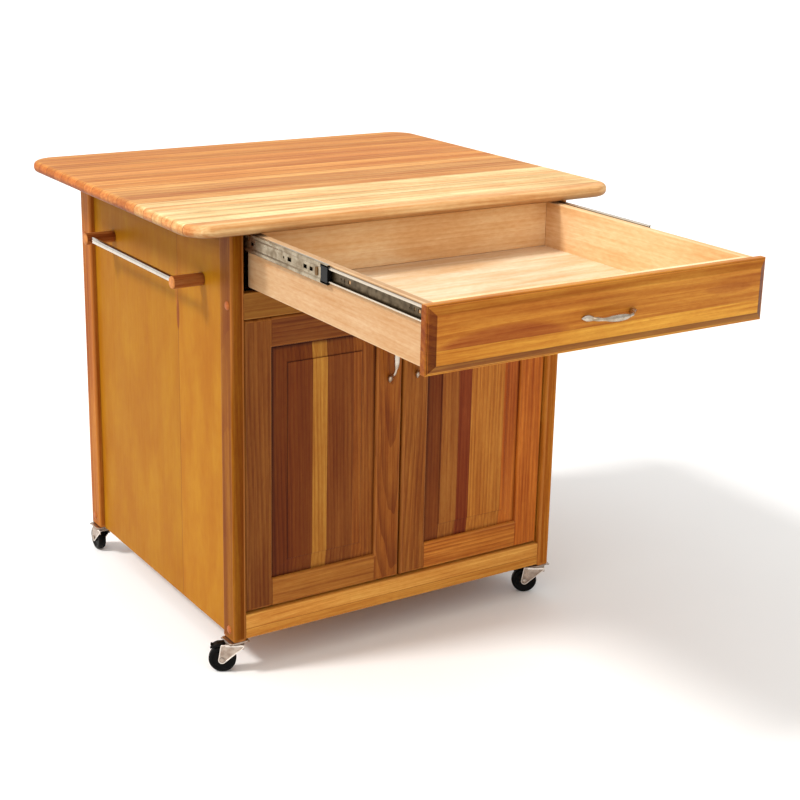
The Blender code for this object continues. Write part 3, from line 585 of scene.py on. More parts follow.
# Case: four lacquered posts, veneered side panels, rails across the front
caseLook = {
    "postRound": 0.0042,
    "postEnd": 0.0038,  # how far a post's edges are eased at its foot
    "railRound": 0.0022,
    "railEnd": 0.0005,
    "railJoint": 0.42,  # where the bottom rail's two boards are glued, as a share of its height
    "veneerJoint": 0.195,  # the side's veneer is joined a hand's width behind the front post
    "plugRadius": 0.0080,
    "plugRise": 0.0028,
    "plugs": ((0.0875, 0.0195), (0.7090, 0.0155)),  # height, and distance in from the post's outer edge
}
for side, tint, seed in (("left", "#925E15", 0), ("right", "#C98B35", 1)):
    for end in ("front", "rear"):
        low, high = corners(f"post_{end}_{side}")
        # stained birch under brushed lacquer: straight dark streaks, corners rubbed a little paler
        lacqueredPost = woodFinish(f"lacqueredBirchPost{end.title()}{side.title()}", {
            "grain": "z", "staves": "y", "edges": [low[1], high[1]],
            "tints": [tint if end == "front" else "#BB7D31"], "seed": seed + 2 * (end == "rear"),
            "streak": (170, 2.2), "broad": (520, 12), "broadTone": "#B9854F", "broadAmount": 0.7,
            "ringAmount": 0.45, "ring": 9.0, "rough": 0.33, "sheen": 0.04, "wear": 0.5,
            "wearTone": "#C98445", "endTone": "#B98455"
        })
        shell = softBoard(low, high, 2, caseLook["postRound"], caseLook["postEnd"], 5)
        makePiece(
            f"post{end.title()}{side.title()}", shell, "cabinet", lacqueredPost,
            [f"post_{end}_{side}"]
        )

panelLow, panelHigh = corners("side_panel_left")
seamAt = panelLow[1] + caseLook["veneerJoint"]
overhangShadowAt = (0, seamAt, panelHigh[2])
# rotary-cut birch veneer under amber lacquer: broad soft clouds, hardly a line, a small dark knot at the
# seam; a painted shadow under the top
veneeredSidePanel = woodFinish("veneeredBirchSidePanel", {
    "grain": "z", "staves": "y", "edges": [panelLow[1], seamAt, panelHigh[1]],
    "tints": ["#A97318", "#A36F16"],
    "streak": (210, 3.0), "broad": (150, 60), "broadTone": "#E2B87C", "broadAmount": 0.35,
    "ringAmount": 0.05, "ring": 14.0,
    "poreAmount": 0.12, "streakAmount": 0.10, "cloudTone": "#DDB074", "cloudAmount": 0.25,
    "cloud": (200, 60), "fleckAmount": 0.18, "fleck": (24, 9),
    "rough": 0.34, "sheen": 0.03, "jointAmount": 0.6, "joint": 0.0016,
    "heartsAndPaintedShadows": [
        {"at": (0, seamAt, 0.640), "size": (1.0, 0.007, 0.034), "tint": "#8A4A1C", "amount": 0.9,
         "ragged": 0.12},
        {"at": (0, seamAt + 0.004, 0.690), "size": (1.0, 0.010, 0.040), "tint": "#B06A28", "amount": 0.5},
        # painted shadow of the top's overhang: soft dark lenses along the panel's upper edge
        {"at": overhangShadowAt, "size": (9.0, 9.0, 0.058), "tint": "#8A560E", "amount": 0.35, "ragged": 0.1},
        {"at": overhangShadowAt, "size": (9.0, 9.0, 0.044), "tint": "#754408", "amount": 0.40, "ragged": 0.1},
        {"at": overhangShadowAt, "size": (9.0, 9.0, 0.030), "tint": "#5E3406", "amount": 0.45, "ragged": 0.1},
    ],
})
# sealed birch plywood: pale and dull, with long soft streaks
plyInside = woodFinish("sealedBirchPly", {
    "grain": "x", "staves": "z", "edges": [0.0, 1.0], "tints": ["#D9A868"], "streak": (160, 3.0),
    "broad": (300, 30), "broadAmount": 0.4, "ringAmount": 0.3, "ring": 12.0, "rough": 0.5
})
for side, _ in hands:
    dressNode(f"side_panel_{side}", veneeredSidePanel)
for node in ("back_panel", "cabinet_floor", "adjustable_shelf"):
    dressNode(node, plyInside)

for node, name, tints, seed in (
    ("front_bottom_rail", "bottomRail", ["#DBA64C", "#E9B55B"], 1),
    ("front_drawer_rail", "drawerRail", ["#966C2B"], 4),
):
    low, high = corners(node)
    edges = np.linspace(low[2], high[2], len(tints) + 1).tolist()
    if len(tints) > 1:
        edges[1] = low[2] + caseLook["railJoint"] * (high[2] - low[2])
    # stained birch rail under lacquer: fine streaks along it, its long edges rubbed paler
    lacqueredRail = woodFinish(f"lacqueredBirch{name[0].upper() + name[1:]}", {
        "grain": "x", "staves": "z", "edges": edges, "tints": tints, "seed": seed, "streak": (150, 2.0),
        "broad": (380, 13), "broadTone": "#CFA064", "ringAmount": 0.35, "ring": 8.0,
        "pith": (0.02, 0.02, 0.08), "rough": 0.34, "wear": 0.4, "wearTone": "#D79A50"
    })
    makePiece(
        name, softBoard(low, high, 0, caseLook["railRound"], caseLook["railEnd"]), "cabinet",
        lacqueredRail,
        [node]
    )

# Button plugs over the case screws, a pair on each post
# turned birch buttons: short fibres and a small highlight on the dome
plugWood = woodFinish("turnedBirchPlug", {
    "grain": "x", "staves": "z", "edges": [0.0, 1.0], "tints": ["#BC7A44"], "streak": (8, 1.2),
    "ringAmount": 0.2, "rough": 0.3, "endAmount": 0.2
})
for side, inward in hands:
    plugs = []
    for end, outward in (("front", 1), ("rear", -1)):
        low, high = corners(f"post_{end}_{side}")
        face = low[0] if side == "left" else high[0]
        for level, inset in caseLook["plugs"]:
            at = (low[1] if end == "front" else high[1]) + outward * inset
            rounded = dome(caseLook["plugRadius"], caseLook["plugRise"], 8)
            shape = np.concatenate([[[-0.0004, caseLook["plugRadius"]]], rounded])
            plugs.append(turned(shape, (face, at, level), (-inward, 0, 0), 28))
    makePiece(f"screwPlugs{side.title()}", gathered(*plugs), "cabinet", plugWood)
print("case made")

# Towel bar: a chromed tube between two turned pegs
barLook = {"chamfer": 0.0016}
# turned and stained birch: reddish brown with close streaks, the end's chamfer rubbed pale
pegWood = woodFinish("turnedAndStainedBirchPeg", {
    "grain": "x", "staves": "z", "edges": [0.0, 1.0], "tints": ["#BC874E"], "streak": (38, 1.3),
    "streakAmount": 0.9, "broadAmount": 0.7, "broadTone": "#A8683C", "ringAmount": 0.4, "ring": 5.0,
    "rough": 0.32, "endAmount": 0.0, "wear": 0.8, "wearTone": "#D08848"
})
for end in ("front", "rear"):
    node = f"towel_bar_standoff_{end}"
    low, high = corners(node)
    reach, radius = high[0] - low[0], (high[2] - low[2]) / 2
    centre = (high[0], (low[1] + high[1]) / 2, (low[2] + high[2]) / 2)
    chamfer = barLook["chamfer"]
    shape = [
        (0.0, radius - 0.0004), (0.0006, radius), (0.012, radius), (reach / 2, radius),
        (reach - chamfer - 0.0008, radius), (reach - chamfer, radius - 0.0002),
        (reach - chamfer / 2, radius - chamfer * 0.55), (reach - 0.0001, radius - chamfer),
        (reach, radius - chamfer - 0.0006)
    ]
    points, faces, wear = turned(shape, centre, (-1, 0, 0), 40)
    wear = (np.abs(points[:, 0] - high[0]) > reach - chamfer - 0.0005).astype(float)
    makePiece(f"towelPeg{end.title()}", (points, faces, wear), "cabinet", pegWood, [node])
low, high = corners("towel_bar")
# chrome plate on steel tube: close to a mirror, with faint lines round it
chromedTube = metalFinish("chromePlatedTube", {
    "lines": (60, 300, 60), "tint": "#CFC7BC", "dull": "#C2B8AB", "rough": 0.07, "vary": 0.03,
    "lineAmount": 0.05, "relief": 0.01
})
radius = (high[2] - low[2]) / 2
length = high[1] - low[1]
evenly = [(length * k / 12, radius) for k in range(1, 12)]
shape = [
    (0.0, radius - 0.0006), (0.0005, radius), *evenly, (length - 0.0005, radius), (length, radius - 0.0006)
]
makePiece(
    "towelBar", turned(shape, ((low[0] + high[0]) / 2, low[1], (low[2] + high[2]) / 2), (0, 1, 0), 36),
    "cabinet", chromedTube, ["towel_bar"]
)
print("towel bar made")

# Ball-bearing slides: three nested channels a side, rolled from zinc-plated steel
slideLook = {
    "metal": 0.0012,
    "round": 0.0009,
    "curl": {"outer": 0.0006, "middle": 0.0014, "inner": 0.0026},  # how far each lip turns back
    # how far the web steps back behind the ball track
    "shoulder": {"outer": 0.0, "middle": 0.0014, "inner": 0.0},
    "track": {"outer": 0.0050, "middle": 0.0050, "inner": 0.0030},
    "holes": {  # distance back from each member's front end, length, half height
        "outer": [(0.030, 0.010, 0.0030), (0.120, 0.006, 0.0030), (0.300, 0.010, 0.0030)],
        "middle": [
            (0.048, 0.010, 0.0034), (0.067, 0.011, 0.0034), (0.119, 0.012, 0.0034),
            (0.142, 0.004, 0.0018), (0.250, 0.010, 0.0030)
        ],
        "inner": [
            (0.0115, 0.007, 0.0030), (0.0265, 0.003, 0.0030), (0.0385, 0.003, 0.0012),
            (0.2085, 0.007, 0.0030), (0.2245, 0.003, 0.0030), (0.2355, 0.003, 0.0012),
            (0.400, 0.008, 0.0030)
        ],
    },
    "mouth": 0.0215,  # the last stretch of the middle member, filled by its bumper
    "lever": (0.031, 0.008, 0.0070),
}
# zinc plate on rolled steel: faint drawn lines along the run, painted highlights on its folds
zincSlide = metalFinish("zincPlatedRolledSteel", {
    "lines": (4, 160, 1.2), "tint": "#B5A78F", "dull": "#8C7B62", "wearAndPaintedLight": "#DDD2C0", "rough": 0.24,
    "vary": 0.14, "lineAmount": 0.35
})
# the same steel on the drawer's member: painted dark brown for the birch reflected in it, its lips painted
# bright as highlights
reflectionTintedSlide = metalFinish("zincRolledSteelPaintedReflection", {
    "lines": (4, 120, 1.2), "tint": "#6B5B44", "dull": "#463824", "wearAndPaintedLight": "#D5C8B6", "rough": 0.26,
    "vary": 0.16, "lineAmount": 0.45
})
# moulded acetal: nearly black with a soft sheen
acetalLook = {"grit": 0.8, "tint": "#0A0908", "dull": "#161311", "rough": 0.42}
blackAcetal = plasticFinish("mouldedBlackAcetal", acetalLook)
# bronzed spring steel: brown, half dull
bronzedLook = {"lines": (4, 8, 4), "tint": "#7A5A34", "dull": "#4A3520", "rough": 0.35}
bronzedLever = metalFinish("bronzedSpringSteel", bronzedLook)
slideBodies = {
    "outer": ("cabinet", "cabinet"), "middle": ("slide_middle_left_member", "slide_middle_right_member"),
    "inner": ("drawer", "drawer")
}
for member, owners in slideBodies.items():
    for (side, inward), body in zip(hands, owners):
        node = f"slide_{member}_{side}"
        low, high = corners(node)
        half = slideLook["metal"] / 2
        # the drawer member opens outward, the others towards the drawer
        opens = -inward if member == "inner" else inward
        track = (low[0] + half) if opens > 0 else (high[0] - half)
        lip = (high[0] - half) if opens > 0 else (low[0] + half)
        web = track + opens * slideLook["shoulder"][member]
        bottom, top = low[2] + half, high[2] - half
        middle = (bottom + top) / 2
        curl, rise = slideLook["curl"][member], slideLook["track"][member]
        under = bentLine(
            [
                (lip, bottom + curl), (lip, bottom), (track, bottom), (track, bottom + rise),
                (web, bottom + 1.6 * rise), (web, middle - 0.0042)
            ],
            min(slideLook["round"], 0.9 * curl), 4
        )
        heights = sorted({0.0012, 0.0018, 0.0030, 0.0034})
        flat = np.array([(web, middle + z) for z in [-h for h in heights[::-1]] + [0.0] + heights])
        line = np.concatenate([under, flat, [(x, 2 * middle - z) for x, z in under[::-1]]])
        holes = slideLook["holes"][member]
        mouth = slideLook["mouth"] if member == "middle" else 0.0
        cuts = {0.0, high[1] - low[1], mouth, *(v for start, size, _ in holes for v in (start, start + size))}
        stations = low[1] + np.array(sorted(cuts))
        cellY = (stations[:-1] + stations[1:]) / 2 - low[1]
        cellZ = np.abs((line[:-1, 1] + line[1:, 1]) / 2 - middle)
        gone = (cellZ < middle - bottom - 0.0020)[:, None] & (cellY < mouth)[None]
        for start, size, tall in holes:
            gone |= (cellZ < tall)[:, None] & (cellY > start)[None] & (cellY < start + size)[None]
        # painted highlight on the lips, away from the web
        wearAndPaintedLight = (np.abs(line[:, 0] - web) > 0.0022).astype(float)
        shell = pressedStrip(
            line, stations, slideLook["metal"], lambda p: np.stack([p[:, 0], p[:, 2], p[:, 1]], -1), gone,
            wearAndPaintedLight
        )
        makePiece(
            f"slide{member.title()}{side.title()}", shell, body,
            reflectionTintedSlide if member == "inner" else zincSlide, [node], sharp=32
        )
        if member == "middle":
            # black bumper in the mouth of this member: a face plate, a block between the drawer member's
            # lips, and two horns round them
            front = low[1]
            blocks = []
            for near, far, fromZ, toZ, start, stop in (
                (0.0003, 0.0023, -0.0125, 0.0125, 0.0, mouth - 0.0004),
                (0.0022, 0.0076, -0.0084, 0.0084, 0.0006, mouth - 0.0010),
                (0.0012, 0.0062, 0.0130, 0.0152, 0.0010, mouth + 0.0020),
                (0.0012, 0.0062, -0.0152, -0.0130, 0.0010, mouth + 0.0020)
            ):
                x0, x1 = sorted((track - opens * half + opens * near, track - opens * half + opens * far))
                blocks.append(
                    softBoard(
                        np.array([x0, front + start, middle + fromZ]),
                        np.array([x1, front + stop, middle + toZ]), 0, 0.0009, 0.0004
                    )
                )
            makePiece(f"slideBumper{side.title()}", gathered(*blocks), body, blackAcetal)
            back, size, tall = slideLook["lever"]
            x0, x1 = sorted((track - opens * (half - 0.0002), web - opens * (half - 0.0001)))
            lever = softBoard(
                np.array([x0, front + back, middle - tall]),
                np.array([x1, front + back + size, middle + tall]), 0, 0.0020, 0.0003
            )
            makePiece(f"slideLever{side.title()}", lever, body, bronzedLever)
print("slides made")

# Drawer: clear-sealed birch box behind a shaped front of two glued boards
boxLook = {"edge": 0.0016, "end": 0.0006, "bottomEdge": 0.0006, "bottomEnd": 0.0004}
birchBox = {}
for side, tint, seed in (("left", "#C9AA86", 0), ("right", "#F2D2A6", 2)):
    # birch board under clear sealer: pale, with faint rings and almost no gloss
    birchBox[side] = woodFinish(f"clearSealedBirchBox{side.title()}", {
        "grain": "y", "staves": "z", "edges": [0.6, 0.9], "tints": [tint], "seed": seed,
        "streak": (120, 2.4), "streakAmount": 0.3, "streakTone": "#E6CFB0", "broad": (260, 20),
        "broadTone": "#E8D2B2", "broadAmount": 0.5, "ringTone": "#E6CBA6", "ringAmount": 0.25,
        "ring": 9.0, "pith": (0.02, 0.02, 0.06), "poreAmount": 0.15, "cloudTone": "#F0DCC0",
        "rough": 0.45, "endTone": "#DDB78C", "wearTone": "#F3D8B0", "jointAmount": 0.0
    })
# the same board, run across the drawer
birchBoxAcross = woodFinish("clearSealedBirchBoxEnd", {
    "grain": "x", "staves": "z", "edges": [0.6, 0.9], "tints": ["#FFE7BC"], "seed": 3,
    "streak": (150, 2.6), "streakAmount": 0.3, "streakTone": "#E6CFB0", "broad": (320, 22),
    "broadTone": "#F0DABA", "broadAmount": 0.5, "ringTone": "#E8CBA0", "ringAmount": 0.3, "ring": 10.0,
    "pith": (0.02, 0.03, 0.08), "poreAmount": 0.15, "rough": 0.45, "endTone": "#DDB78C",
    "wearTone": "#F3D8B0", "jointAmount": 0.0
})
# sealed birch plywood: the palest surface, with wide-set streaks from side to side
birchPlyBottom = woodFinish("sealedBirchPlyBottom", {
    "grain": "x", "staves": "y", "edges": [-1.0, 1.0], "tints": ["#F7E8CE"], "seed": 5,
    "streak": (260, 3.2), "streakAmount": 0.35, "streakTone": "#E8D4B6", "broad": (600, 26),
    "broadTone": "#EBD3AE", "broadAmount": 0.7, "ringTone": "#E4C79E", "ringAmount": 0.25, "ring": 16.0,
    "poreAmount": 0.12, "rough": 0.5
})
for node, name, axis, finish in (
    ("drawer_side_left", "drawerSideLeft", 1, birchBox["left"]),
    ("drawer_side_right", "drawerSideRight", 1, birchBox["right"]),
    ("drawer_box_front", "drawerBoxFront", 0, birchBoxAcross),
    ("drawer_back", "drawerBack", 0, birchBoxAcross)
):
    low, high = corners(node)
    board = softBoard(low, high, axis, boxLook["edge"], boxLook["end"])
    makePiece(name, board, "drawer", finish, [node])
board = softBoard(*corners("drawer_bottom"), 0, boxLook["bottomEdge"], boxLook["bottomEnd"])
makePiece("drawerBottom", board, "drawer", birchPlyBottom, ["drawer_bottom"])


def shapedPanel(low, high, steps, lower=1.0, upper=1.0):
    # rectangular rings (inset, depth, wear): ring k lies 'inset' inside the outline at depth y; flat bands
    # meet in mitres at the corners; painted shade (wear below zero) is scaled by 'lower' at the two
    # bottom corners and by 'upper' at the two top ones
    steps = np.asarray(steps, float)
    inset, y = steps[:, 0, None], steps[:, 1, None]
    side = np.array([(0, 0), (1, 0), (1, 1), (0, 1)])
    x = np.where(side[:, 0] == 0, low[0] + inset, high[0] - inset)
    z = np.where(side[:, 1] == 0, low[2] + inset, high[2] - inset)
    loops = np.stack([x, np.repeat(y, 4, 1), z], -1)
    wear = steps[:, 2, None] * np.where(steps[:, 2, None] < 0, (lower, lower, upper, upper), 1.0)
    return skin(loops, wear)


frontLow, frontHigh = corners("drawer_front")
frontLook = {
    "lip": 0.0030,  # a plain edge round the bevel
    "lipDepth": 0.0066,
    "bevel": 0.0125,
    "bevelStart": 0.0052,
    "joint": 0.0375,  # height of the glue joint above the lower edge
    "lowerPaintedShade": 1.15,  # painted shade is stronger on the lower bevel, which faces down, than on the upper one
    "upperPaintedShade": 0.4,
}
face = frontLow[1]
jointAt = frontLow[2] + frontLook["joint"]
frontLeft = frontLow[0]
# two boards of flat-sawn birch, stained and lacquered: honey coloured, with a dark heart over the joint
frontWood = woodFinish("lacqueredBirchDrawerFront", {
    "grain": "x", "staves": "z", "edges": [frontLow[2], jointAt, frontHigh[2]],
    "tints": ["#EAB046", "#DA9B3F"],
    "streak": (150, 2.0), "broad": (420, 12), "broadTone": "#C08C50", "broadAmount": 0.6, "ring": 11.0,
    "ringAmount": 0.5, "pith": (0.02, 0.03, 0.05),
    "waver": 9.0, "ringTone": "#C48F54", "streakAmount": 0.5, "rough": 0.33, "wear": 0.5,
    "wearTone": "#D9A058", "jointAmount": 0.25, "seed": 2,
    # the slanted side bevels get the darker end-grain tone too
    "endTone": "#96602F", "endFrom": 0.18, "endFull": 0.34, "endAmount": 0.75,
    "heartsAndPaintedShadows": [
        {
            "at": (frontLeft + 0.140, face, jointAt - 0.001), "size": (0.118, 0.5, 0.026),
            "tint": "#B2652C", "amount": 0.75, "cut": jointAt, "above": True, "ragged": 0.12
        },
        {
            "at": (frontLeft + 0.135, face, frontLow[2] + 0.006), "size": (0.115, 0.5, 0.012),
            "tint": "#B87030", "amount": 0.45, "ragged": 0.3
        },
        {
            "at": (frontLeft + 0.59, face, frontHigh[2] - 0.040), "size": (0.060, 0.5, 0.010),
            "tint": "#BC7634", "amount": 0.45, "ragged": 0.3
        },
    ],
})
lip, depth, bevel, start = (frontLook[key] for key in ("lip", "lipDepth", "bevel", "bevelStart"))
# third column: above zero rubbed paler, below zero painted shade in the steps of the profile
frontSteps = [
    (0.0008, frontHigh[1], 0), (0, frontHigh[1] - 0.0008, 0), (0, face + depth + 0.0014, 0),
    (0.0004, face + depth + 0.0004, 0.3), (0.0014, face + depth, 0), (lip - 0.0006, face + depth, -0.5),
    (lip, face + depth - 0.0004, -0.6), (lip, face + start + 0.0003, -0.3),
    (lip + 0.0004, face + start, 0.4), (lip + 0.0016, face + start - 0.0005, -0.55),
    (lip + bevel - 0.0024, face + 0.0009, -0.6), (lip + bevel - 0.0010, face + 0.0004, -0.75),
    (lip + bevel - 0.0003, face + 0.0001, -0.4), (lip + bevel + 0.0008, face, 0)
]
makePiece(
    "drawerFront",
    shapedPanel(frontLow, frontHigh, frontSteps, frontLook["lowerPaintedShade"], frontLook["upperPaintedShade"]),
    "drawer", frontWood, ["drawer_front"], sharp=12
)
print("drawer made")

# Pulls: cast arch pulls, teardrop feet, thin necks, a swelling grip
pullLook = {
    # along from the middle, height of the centre line, half width, half depth
    "stations": [
        (-0.0480, 0.0010, 0.0006, 0.0006), (-0.0455, 0.0016, 0.0031, 0.0022),
        (-0.0420, 0.0022, 0.0050, 0.0036), (-0.0385, 0.0034, 0.0056, 0.0044),
        (-0.0358, 0.0062, 0.0048, 0.0040), (-0.0342, 0.0092, 0.0033, 0.0031),
        (-0.0328, 0.0120, 0.0030, 0.0030), (-0.0305, 0.0152, 0.0037, 0.0035),
        (-0.0285, 0.0174, 0.0029, 0.0029), (-0.0240, 0.0202, 0.0026, 0.0026),
        (-0.0195, 0.0220, 0.0030, 0.0028), (-0.0170, 0.0228, 0.0039, 0.0033),
        (-0.0110, 0.0239, 0.0051, 0.0039), (0.0, 0.0243, 0.0057, 0.0042),
    ],
    "count": 73,  # rings along the arch
}
# satin nickel on cast zinc: warm grey, brushed lightly, highlights soft
satinNickel = metalFinish("satinNickelPlatedCasting", {
    "lines": (5, 5, 1.0), "tint": "#C9BDAE", "dull": "#A3927C", "rough": 0.20, "vary": 0.12,
    "lineAmount": 0.2
})


def archPull(centre, alongAxis, acrossAxis, reach):
    # ellipse with changing half width and half depth, carried along the arch: centre + along + height * out
    half = np.array(pullLook["stations"])
    half[:, 0] *= reach / -half[0, 0]
    whole = np.concatenate([half, half[-2::-1] * (-1, 1, 1, 1)])
    run = np.concatenate([[0], np.cumsum(np.linalg.norm(np.diff(whole[:, :2], axis=0), axis=1))])
    fine = np.linspace(0, run[-1], pullLook["count"])
    soft = np.stack([np.interp(fine, run, whole[:, k]) for k in range(4)], -1)
    padded = np.pad(soft, ((2, 2), (0, 0)), mode="reflect", reflect_type="odd")
    soft = sum(w * padded[k:k + len(soft)] for k, w in enumerate((0.1, 0.22, 0.36, 0.22, 0.1)))
    slope = np.gradient(soft[:, :2], axis=0)
    slope /= np.linalg.norm(slope, axis=1, keepdims=True)
    t = np.linspace(0, 2 * math.pi, 20, endpoint=False)
    alongAxis, acrossAxis, out = (np.array(v, float) for v in (alongAxis, acrossAxis, (0, -1, 0)))
    lift = soft[:, 3, None] * np.cos(t)
    a = soft[:, 0, None] - slope[:, 1, None] * lift
    o = soft[:, 1, None] + slope[:, 0, None] * lift
    w = np.abs(soft[:, 2, None]) * np.sin(t)
    return skin(
        np.asarray(centre) + a[..., None] * alongAxis + o[..., None] * out + w[..., None] * acrossAxis
    )


low, high = corners("drawer_pull")
makePiece(
    "drawerPull",
    archPull(
        ((low[0] + high[0]) / 2, face, (low[2] + high[2]) / 2), (1, 0, 0), (0, 0, 1),
        (high[0] - low[0]) / 2
    ),
    "drawer", satinNickel, ["drawer_pull"], sharp=60
)

# Doors: stiles and rails, rounded outside and a little inside, round a raised panel of glued strips
doorLook = {
    "outerRound": 0.0060,
    "sticking": 0.0042,
    "bevel": 0.0330,
    "fieldStep": 0.0012,
    "tongue": 0.0064,  # depth of the panel's thin edge behind the door face
    "field": 0.0015,
    "cupIn": 0.0250,  # hinge cup's centre, in from the case side
    # the cup's section: depth past the door's back, radius
    "cup": [
        (-0.0100, 0.0020), (-0.0100, 0.0150), (0.0, 0.0156), (0.0004, 0.0172),
        (0.0009, 0.0170), (0.0009, 0.0150), (-0.0080, 0.0144), (-0.0085, 0.0020),
    ],
    # painted shade is stronger on the top bevel, in the open drawer's shadow, than on the bottom one
    "lowerPaintedShade": 0.45,
    "upperPaintedShade": 1.0,
    "stripEdges": {
        "left": [0.075, 0.1690, 0.2000, 0.2560, 0.3170],
        "right": [0.410, 0.4570, 0.4960, 0.5260, 0.6050, 0.660]
    },
    "stripTints": {
        "left": ["#7F4513", "#C18E3A", "#915922", "#A66A29"],
        "right": ["#8D501E", "#AD7332", "#90471D", "#CE903D", "#CF7C2D"]
    },
    "frameTints": {
        "left": {
            "hinge_stile": "#966126", "lock_stile": "#AD702B", "top_rail": "#8F5B27",
            "bottom_rail": "#B97F35"
        },
        "right": {
            "hinge_stile": "#D6832F", "lock_stile": "#AB712E", "top_rail": "#98602A",
            "bottom_rail": "#DC963E"
        },
    },
}
cabinetZero = corners("post_front_left")[0]  # outer front corner of the case


def doorMember(low, high, outer, opening, front, back):
    # face depth = outer rounding by distance to the door's outline, or inner rounding by distance to
    # the opening, whichever is deeper
    big, small = doorLook["outerRound"], doorLook["sticking"]
    t = np.radians(np.linspace(0, 90, 6))
    samples = []
    for k in (0, 2):
        from0, from1 = opening[0][k], opening[1][k]
        spots = [
            outer[0][k] + big * (1 - np.cos(t)), outer[1][k] - big * (1 - np.cos(t)),
            from0 - small * (1 - np.cos(t)), from1 + small * (1 - np.cos(t)),
            [
                outer[0][k] + big + 0.001, outer[1][k] - big - 0.001, from0 - small - 0.001,
                from1 + small + 0.001, low[k], high[k]
            ]
        ]
        spots = np.unique(np.round(np.concatenate(spots), 6))
        samples.append(spots[(spots > low[k] - 1e-6) & (spots < high[k] + 1e-6)])
    x, z = np.meshgrid(*samples, indexing="ij")
    edge = np.minimum(
        np.minimum(x - outer[0][0], outer[1][0] - x), np.minimum(z - outer[0][2], outer[1][2] - z)
    ).clip(0)
    gap = np.maximum(
        np.maximum(opening[0][0] - x, x - opening[1][0]), np.maximum(opening[0][2] - z, z - opening[1][2])
    ).clip(0)
    drop = big - np.sqrt(np.maximum(big ** 2 - (big - edge).clip(0) ** 2, 0))
    dip = small - np.sqrt(np.maximum(small ** 2 - (small - gap).clip(0) ** 2, 0))
    sink = np.maximum(drop, dip)
    rows, columns = x.shape
    index = np.arange(rows * columns).reshape(rows, columns)
    quads = np.stack([index[:-1, :-1], index[1:, :-1], index[1:, 1:], index[:-1, 1:]], -1).reshape(-1, 4)
    rim = np.concatenate([index[:-1, 0], index[-1, :-1], index[:0:-1, -1], index[0, :0:-1]])
    onward = np.roll(rim, -1)
    count = rows * columns
    wall = np.stack([rim, onward, onward + count, rim + count], -1)
    faces = quads.tolist() + (quads[:, ::-1] + count).tolist() + wall.tolist()
    fore = np.stack([x, front + sink, z], -1).reshape(-1, 3)
    aft = np.stack([x, np.full_like(x, back), z], -1).reshape(-1, 3)
    wear = np.concatenate([((sink > 0.0002) & (sink < small)).astype(float).ravel(), np.zeros(count)])
    return np.concatenate([fore, aft]), faces, wear


